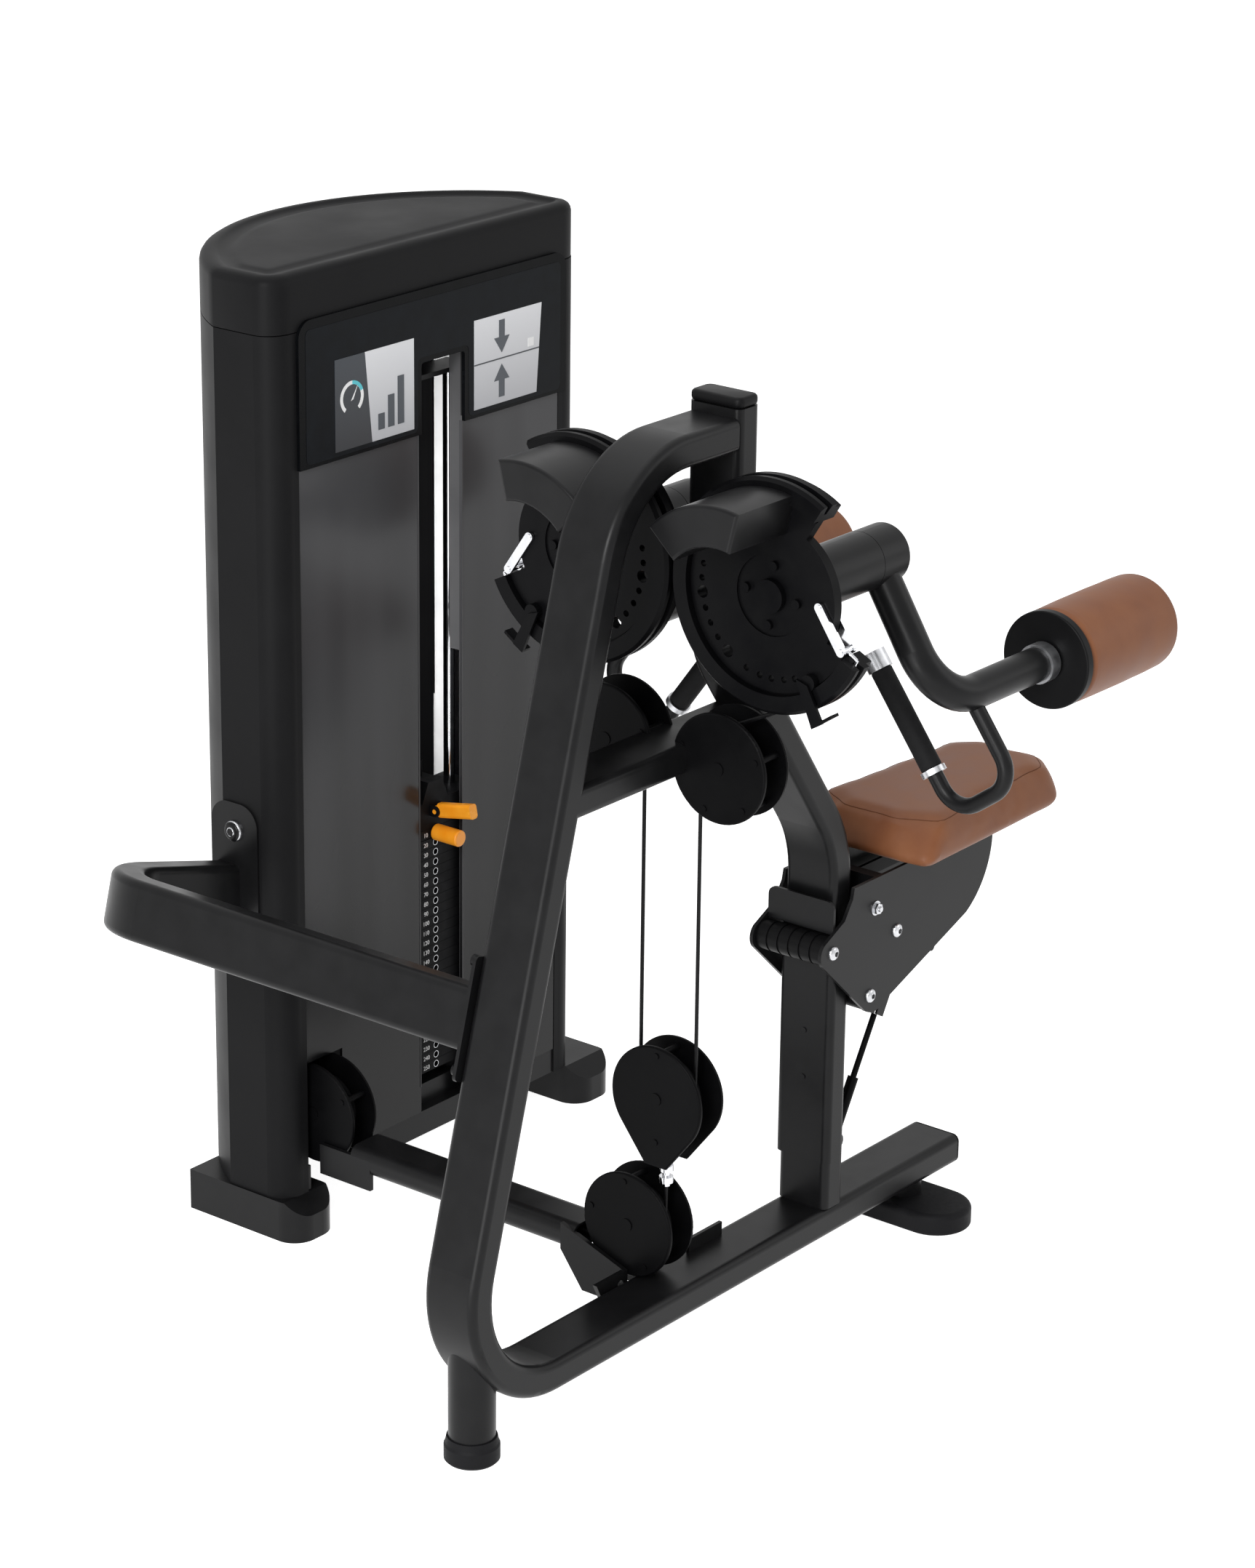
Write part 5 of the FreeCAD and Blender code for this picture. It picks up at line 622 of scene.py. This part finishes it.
def panel_insert():
    """Thin satin sheet on the glossy panel, cut out round the slot."""
    x0, x1 = PANEL_LOW.x + INSERT_IN, PANEL_HIGH.x - INSERT_IN
    z0, z1 = PANEL_LOW.z + INSERT_IN_LOW, PANEL_HIGH.z - INSERT_IN
    s0, s1, top = SLOT_X[0] - INSERT_GAP, SLOT_X[1] + INSERT_GAP, SLOT_TOP + INSERT_GAP
    mesh = bmesh.new()
    flat_shape(mesh, [(x0, z0), (s0, z0), (s0, top), (s1, top), (s1, z0), (x1, z0), (x1, z1), (x0, z1)],
               PANEL_LOW.y, FILM_T)
    corners = [e for e in mesh.edges if abs((e.verts[0].co - e.verts[1].co).y) > FILM_T / 2]
    rounded(mesh, corners, INSERT_CORNER, segments=6)
    return piece("panel_insert", mesh, INSERT_ABS, "frame")


FILM_Y = PANEL_LOW.y - FILM_T
INK_Y = FILM_Y - FILM_T
OVERPRINT = FILM_T * 0.2


def printed(name, outlines, y, finish):
    """Flat shapes of one colour on the panel."""
    mesh = bmesh.new()
    for outline in outlines:
        flat_shape(mesh, outline, y, FILM_T)
    return piece(name, mesh, finish, "frame")


LEFT_PLACARD_X = mm(491, 676)
LEFT_SPLIT = 0.42
SPLIT_LEAN = 8 * MM
GAUGE_AT = (0.5, 0.55)
GAUGE_R = mm(27, 21)
GAUGE_DEG = (-50, 230)
GAUGE_LIT_DEG = (20, 88)
NEEDLE = (mm(-2, -5), mm(3, -3), mm(13, 17))
BAR_COUNT = 3
BAR_IN = 22 * MM
BAR_PITCH = 23 * MM
BAR_WIDTH = 15 * MM
BAR_FOOT = 16 * MM
BAR_RISE = 26 * MM


def left_placard():
    """Plain instruction placard: a gauge on a dark field beside rising bars on a pale one."""
    (x0, x1), (z0, z1) = LEFT_PLACARD_X, PLACARD_Z
    split = x0 + (x1 - x0) * LEFT_SPLIT
    foot, head = split + SPLIT_LEAN, split - SPLIT_LEAN
    printed("placard_left_field", [[(x0, z0), (foot, z0), (head, z1), (x0, z1)]], FILM_Y, NAVY_FILM)
    printed("placard_left_grey", [[(foot, z0), (x1, z0), (x1, z1), (head, z1)]], FILM_Y, PALE_FILM)
    middle = (x0 + (split - x0) * GAUGE_AT[0], z0 + (z1 - z0) * GAUGE_AT[1])
    outer, inner = GAUGE_R

    def band(start, end, steps):
        return arc(middle, outer, start, end, steps) + arc(middle, inner, end, start, steps)

    needle = [(middle[0] + x, middle[1] + z) for x, z in NEEDLE]
    printed("placard_left_marks", [band(*GAUGE_DEG, 28), needle], INK_Y, WHITE_INK)
    bars = [(split + BAR_IN + i * BAR_PITCH, BAR_RISE * (i + 1)) for i in range(BAR_COUNT)]
    printed("placard_left_bars",
            [box_outline(left, z0 + BAR_FOOT, left + BAR_WIDTH, z0 + BAR_FOOT + tall) for left, tall in bars],
            INK_Y, SLATE_INK)
    printed("placard_gauge_arc", [band(*GAUGE_LIT_DEG, 10)], INK_Y - OVERPRINT, CYAN_INK)


RIGHT_PLACARD_X = mm(822, 990)
PLACARD_SLANT = 12 * MM
RULE_HALF = 1 * MM
ARROW_LEFT_OF_MIDDLE = 16 * MM
ARROW_MARGIN = 10 * MM
ARROW_SHAFT = 7 * MM
ARROW_WING = 19 * MM
ARROW_NECK = 28 * MM
ARROW_TALL = 54 * MM
TAB_IN = mm(34, 20)
TAB_UP = mm(6, 20)


def right_placard():
    """Plain instruction placard: two pale cells, with an arrow down in the upper one and up in the lower one."""
    (x0, x1), (z0, z1) = RIGHT_PLACARD_X, PLACARD_Z
    middle_x, middle_z = (x0 + x1) / 2 - ARROW_LEFT_OF_MIDDLE, (z0 + z1) / 2
    film = [(x0, z0), (x1 - PLACARD_SLANT, z0), (x1, z1), (x0, z1)]
    rule = box_outline(x0, middle_z - RULE_HALF, x1 - PLACARD_SLANT / 2, middle_z + RULE_HALF)
    tab = box_outline(x1 - TAB_IN[0], middle_z + TAB_UP[0], x1 - TAB_IN[1], middle_z + TAB_UP[1])
    arrows = []
    for tail, up in ((z0 + ARROW_MARGIN, 1), (z1 - ARROW_MARGIN, -1)):
        neck = tail + up * ARROW_NECK
        arrows.append([(middle_x - ARROW_SHAFT, tail), (middle_x + ARROW_SHAFT, tail),
                       (middle_x + ARROW_SHAFT, neck), (middle_x + ARROW_WING, neck),
                       (middle_x, tail + up * ARROW_TALL),
                       (middle_x - ARROW_WING, neck), (middle_x - ARROW_SHAFT, neck)])
    printed("placard_right_grey", [film], FILM_Y, PALE_FILM)
    printed("placard_right_rule", [rule], INK_Y, NAVY_FILM)
    printed("placard_right_marks", arrows, INK_Y, SLATE_INK)
    printed("placard_right_tab", [tab], INK_Y, WHITE_INK)


JAMB_T = 2.5 * MM
JAMB_OFF = 0.2 * MM
JAMB_FRONT_Y = 700.2 * MM
JAMB_SHALLOW_Y = 707.0 * MM
JAMB_DEEP_Y = 727.0 * MM
JAMB_LOW_Z = 160.0 * MM
JAMB_STEP_Z = 900.0 * MM


def slot_jambs():
    """Grey edging down both sides of the slot; its lower part is shallow, to pass the plates that rise."""
    mesh = bmesh.new()
    for x, side in ((SLOT_X[0], -1), (SLOT_X[1], 1)):
        a, b = sorted((x + side * JAMB_OFF, x + side * JAMB_T))
        block(mesh, (a, JAMB_FRONT_Y, JAMB_LOW_Z), (b, JAMB_SHALLOW_Y, JAMB_STEP_Z))
        block(mesh, (a, JAMB_FRONT_Y, JAMB_STEP_Z), (b, JAMB_DEEP_Y, SLOT_TOP))
    return piece("slot_jambs", mesh, JAMB_ABS, "frame")


UPRIGHT_X = 874.0 * MM
UPRIGHT_Y = mm(786, 826)
UPRIGHT_Z = mm(120, 1440)
UPRIGHT_WIDE = 66.0 * MM
UPRIGHT_T = 3.0 * MM


def rear_upright():
    """Light-grey angle bar beside the stack, seen through the slot."""
    (front, back), (low, high) = UPRIGHT_Y, UPRIGHT_Z
    mesh = bmesh.new()
    block(mesh, (UPRIGHT_X, front, low), (UPRIGHT_X + UPRIGHT_T, back, high))
    block(mesh, (UPRIGHT_X, back - UPRIGHT_T, low), (UPRIGHT_X + UPRIGHT_WIDE, back, high))
    return piece("stack_upright", mesh, STRIP_COAT, "frame")


# Weight stack marks
STACK_LOW_Z = 174.0 * MM
PLATE_PITCH = 17.3 * MM
PLATE_COUNT = 24
PLATE_FACE_Y = 712.5 * MM
PLATE_POUNDS = 10
HOLE_X = 746.0 * MM
RING_PROFILE = [mm(5.2, 0.0), mm(6.1, 0.0), mm(6.0, 0.4), mm(5.2, 0.3), mm(5.2, 0.0)]
RING_SIDES = 20
NUMBER_X = 722.0 * MM
NUMBER_H = 7.5 * MM
NUMBER_T = 0.15 * MM
NUMBER_SUNK = 0.1 * MM
DIGIT_SHARE = 0.7


def written(mesh, text, height, place):
    """Adds a number, facing the front, to a mesh; a digit takes up DIGIT_SHARE of the font's size."""
    curve = bpy.data.curves.new("word", "FONT")
    curve.body = text
    curve.size = height / DIGIT_SHARE
    curve.extrude = NUMBER_T
    curve.align_x = "CENTER"
    source = linked("word", curve)
    data = baked(source)
    bpy.data.objects.remove(source)
    data.transform(Matrix.Translation(place) @ Matrix.Rotation(math.pi / 2, 4, "X"))
    mesh.from_mesh(data)
    bpy.data.meshes.remove(data)


def plate_marks():
    """White numbers and bright hole rings down the stack's front; the top plate's own ones lift with it."""
    for name, body, rows in (("plate", "frame", range(PLATE_COUNT)), ("top_plate", "stack", [PLATE_COUNT])):
        numbers, rings = bmesh.new(), bmesh.new()
        for row in rows:
            z = STACK_LOW_Z + PLATE_PITCH * (row + 0.5)
            turned(rings, RING_PROFILE, (HOLE_X, PLATE_FACE_Y, z), (0, -1, 0), RING_SIDES)
            written(numbers, str(PLATE_POUNDS * (PLATE_COUNT + 1 - row)), NUMBER_H,
                    (NUMBER_X, PLATE_FACE_Y - NUMBER_SUNK, z - NUMBER_H / 2))
        piece(name + "_marks", numbers, WHITE_INK, body)
        piece(name + "_rings", rings, ZINC, body)


# Tower cap, on the outline of the tower
TOWER_X = 728.5 * MM
TOWER_FRONT_HALF = 325.5 * MM
TOWER_HALF = 371.5 * MM
TOWER_SIDE_Y = 738.0 * MM
TOWER_BACK_SIDE_Y = 820.0 * MM
TOWER_APEX_Y = 1040.0 * MM
TOWER_FRONT_Y = 700.0 * MM
CAP_LOW_Z = 1506.5 * MM
CAP_ROLL_Z = 1581.0 * MM
CAP_CORNER_MIN = 8.0 * MM
CAP_CORNER_STEPS = 10
CAP_BACK_STEPS = 40
CAP_SMOOTH_DEG = 50.0
# Steps of the lid from the wall over its rim and valley to the raised middle: how far in and how far up
CAP_STEPS = (mm(0.0, 0.0), mm(1.2, 5.8), mm(3.2, 5.0), mm(5.0, 3.2), mm(7.0, 1.4), mm(8.0, 0.3),
             mm(3.0, -1.8), mm(5.0, -2.4), mm(14.0, -0.8), mm(7.0, 2.2), mm(5.0, 0.9), mm(6.0, 0.2))


def tower_outline(mesh, inwards, z):
    """Loop of the tower's plan, some way in: straight front, rounded corners, straight sides, round back."""
    half = TOWER_HALF - inwards
    front = TOWER_FRONT_Y + inwards
    bulge = TOWER_APEX_Y - TOWER_BACK_SIDE_Y
    back_r = (TOWER_HALF ** 2 + bulge ** 2) / (2 * bulge)
    back_y = TOWER_APEX_Y - back_r
    back_r -= inwards
    half_turn = math.degrees(math.asin(half / back_r))
    corner_x = max(TOWER_HALF - TOWER_FRONT_HALF - inwards, CAP_CORNER_MIN)
    corner_y = max(TOWER_SIDE_Y - TOWER_FRONT_Y - inwards, CAP_CORNER_MIN)
    turns = [math.pi / 2 * i / CAP_CORNER_STEPS for i in range(CAP_CORNER_STEPS + 1)]
    left = [(TOWER_X - half + corner_x * (1 - math.cos(t)), front + corner_y * (1 - math.sin(t)))
            for t in turns]
    right = [(2 * TOWER_X - x, y) for x, y in reversed(left)]
    back = arc((TOWER_X, back_y), back_r, 90 - half_turn, 90 + half_turn, CAP_BACK_STEPS)
    verts = [mesh.verts.new((x, y, z)) for x, y in left + right + back]
    return [mesh.edges.new((a, b)) for a, b in zip(verts, verts[1:] + verts[:1])]


def dished_cap():
    """Moulded cap: upright wall, rolled rim, a shallow valley inside it and a slightly raised middle."""
    mesh = bmesh.new()
    loops = [tower_outline(mesh, 0, CAP_LOW_Z)]
    inwards, z = 0.0, CAP_ROLL_Z
    for step, rise in CAP_STEPS:
        inwards += step
        z += rise
        loops.append(tower_outline(mesh, inwards, z))
    for lower, upper in zip(loops, loops[1:]):
        bmesh.ops.bridge_loops(mesh, edges=lower + upper)
    for end in (loops[0], loops[-1]):
        bmesh.ops.contextual_create(mesh, geom=end)
    cap = piece("dished_cap", mesh, COVER_ABS, "frame", CAP_SMOOTH_DEG)
    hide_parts("tower_cap")
    return cap


# Plugs of the open tube ends: two opposite corners of each
POST_PLUG = mm(541, -47.5, 1490), mm(591, 47.5, 1507)
POST_PLUG_EDGE = 6 * MM
BASE_PLUG = mm(1186, -47.5, 68), mm(1192, 47.5, 118)
BASE_PLUG_EDGE = 3 * MM
PLUG_CORNER = 12 * MM


def tube_plugs():
    """Rounded nylon plugs on the post and on the rear end of the base tube."""
    mesh = bmesh.new()
    block(mesh, *POST_PLUG, PLUG_CORNER, 2, POST_PLUG_EDGE)
    block(mesh, *BASE_PLUG, PLUG_CORNER, 0, BASE_PLUG_EDGE)
    plugs = piece("tube_plugs", mesh, WHEEL_NYLON, "frame")
    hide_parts("tube_caps")


# Floor, backdrop and lamps
FLOOR_REACH = 30.0
FLOOR_TONE = "#e9e9e9"
FLOOR_GLOW = 0.92
WORLD_LIGHT = 0.42
# Lamps: name, place, aim, width and height, watts, and whether camera and mirrors see it
LAMPS = (
    ("key", (-4.2, -1.5, 3.6), (0.6, 0.2, 0.8), (2.2, 2.0), 190, True),
    ("low_left", (-3.4, -0.9, 0.7), (0.9, -0.1, 0.7), (2.0, 1.2), 46, True),
    ("inside_tower", (0.70, 0.835, 1.02), (0.875, 0.806, 1.02), (0.04, 0.8), 1.5, False),
    ("fill", (3.6, -3.4, 2.8), (0.7, 0.2, 0.8), (2.4, 2.4), 22, True),
    ("overhead", (0.6, 0.8, 4.6), (0.6, 0.3, 0.8), (3.0, 3.0), 26, True),
)


def backdrop_seen(owner, unseen, seen):
    """One level for camera, glossy and transmission rays, which see a backdrop, and another for the rest."""
    rays = add(owner, "ShaderNodeLightPath")
    direct = rays.outputs["Is Camera Ray"]
    for kind in ("Is Glossy Ray", "Is Transmission Ray"):
        either = add(owner, "ShaderNodeMath", {0: direct, 1: rays.outputs[kind]}, operation="ADD",
                     use_clamp=True)
        direct = either.outputs[0]
    return add(owner, "ShaderNodeMapRange", {"Value": direct, "To Min": unseen, "To Max": seen}).outputs[0]


def pale_floor():
    mesh = bmesh.new()
    bmesh.ops.create_grid(mesh, x_segments=1, y_segments=1, size=FLOOR_REACH)
    material = bpy.data.materials.new("pale_studio_floor")
    material.use_nodes = True
    nodes = material.node_tree.nodes
    nodes.remove(nodes["Principled BSDF"])
    matt = add(material, "ShaderNodeBsdfDiffuse", {"Color": linear(FLOOR_TONE)})
    glow = add(material, "ShaderNodeEmission", {"Color": (1, 1, 1, 1),
                                                "Strength": backdrop_seen(material, 0.0, FLOOR_GLOW)})
    both = add(material, "ShaderNodeAddShader", {0: matt.outputs[0], 1: glow.outputs[0]})
    plug(material, both.outputs[0], nodes["Material Output"].inputs["Surface"])
    piece("studio_floor", mesh, material, None)


def white_world():
    world = bpy.data.worlds.new("studio")
    bpy.context.scene.world = world
    world.use_nodes = True
    backdrop = world.node_tree.nodes["Background"]
    backdrop.inputs["Color"].default_value = (1, 1, 1, 1)
    plug(world, backdrop_seen(world, WORLD_LIGHT, 1.0), backdrop.inputs["Strength"])


def lamps():
    for name, place, aim, size, watts, seen in LAMPS:
        data = bpy.data.lights.new(name, "AREA")
        data.shape = "RECTANGLE"
        data.size, data.size_y = size
        data.energy = watts
        lamp = linked(name, data)
        lamp.location = place
        lamp.rotation_euler = (Vector(aim) - Vector(place)).to_track_quat("-Z", "Y").to_euler()
        lamp.visible_camera = lamp.visible_glossy = lamp.visible_transmission = seen


bpy.context.scene.view_settings.view_transform = "Standard"
place_camera()
pale_floor()
white_world()
lamps()
for side in ("left", "right"):
    sleeve = leather_roller(side)
    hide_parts("roller_" + side)
cushion = seat_cushion()
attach(cushion, "carriage")
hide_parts("seat_pad")
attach(seat_seam(cushion), "carriage")
carriage_bolts()
rail_bolt()
panel_insert()
left_placard()
right_placard()
slot_jambs()
rear_upright()
plate_marks()
dished_cap()
tube_plugs()
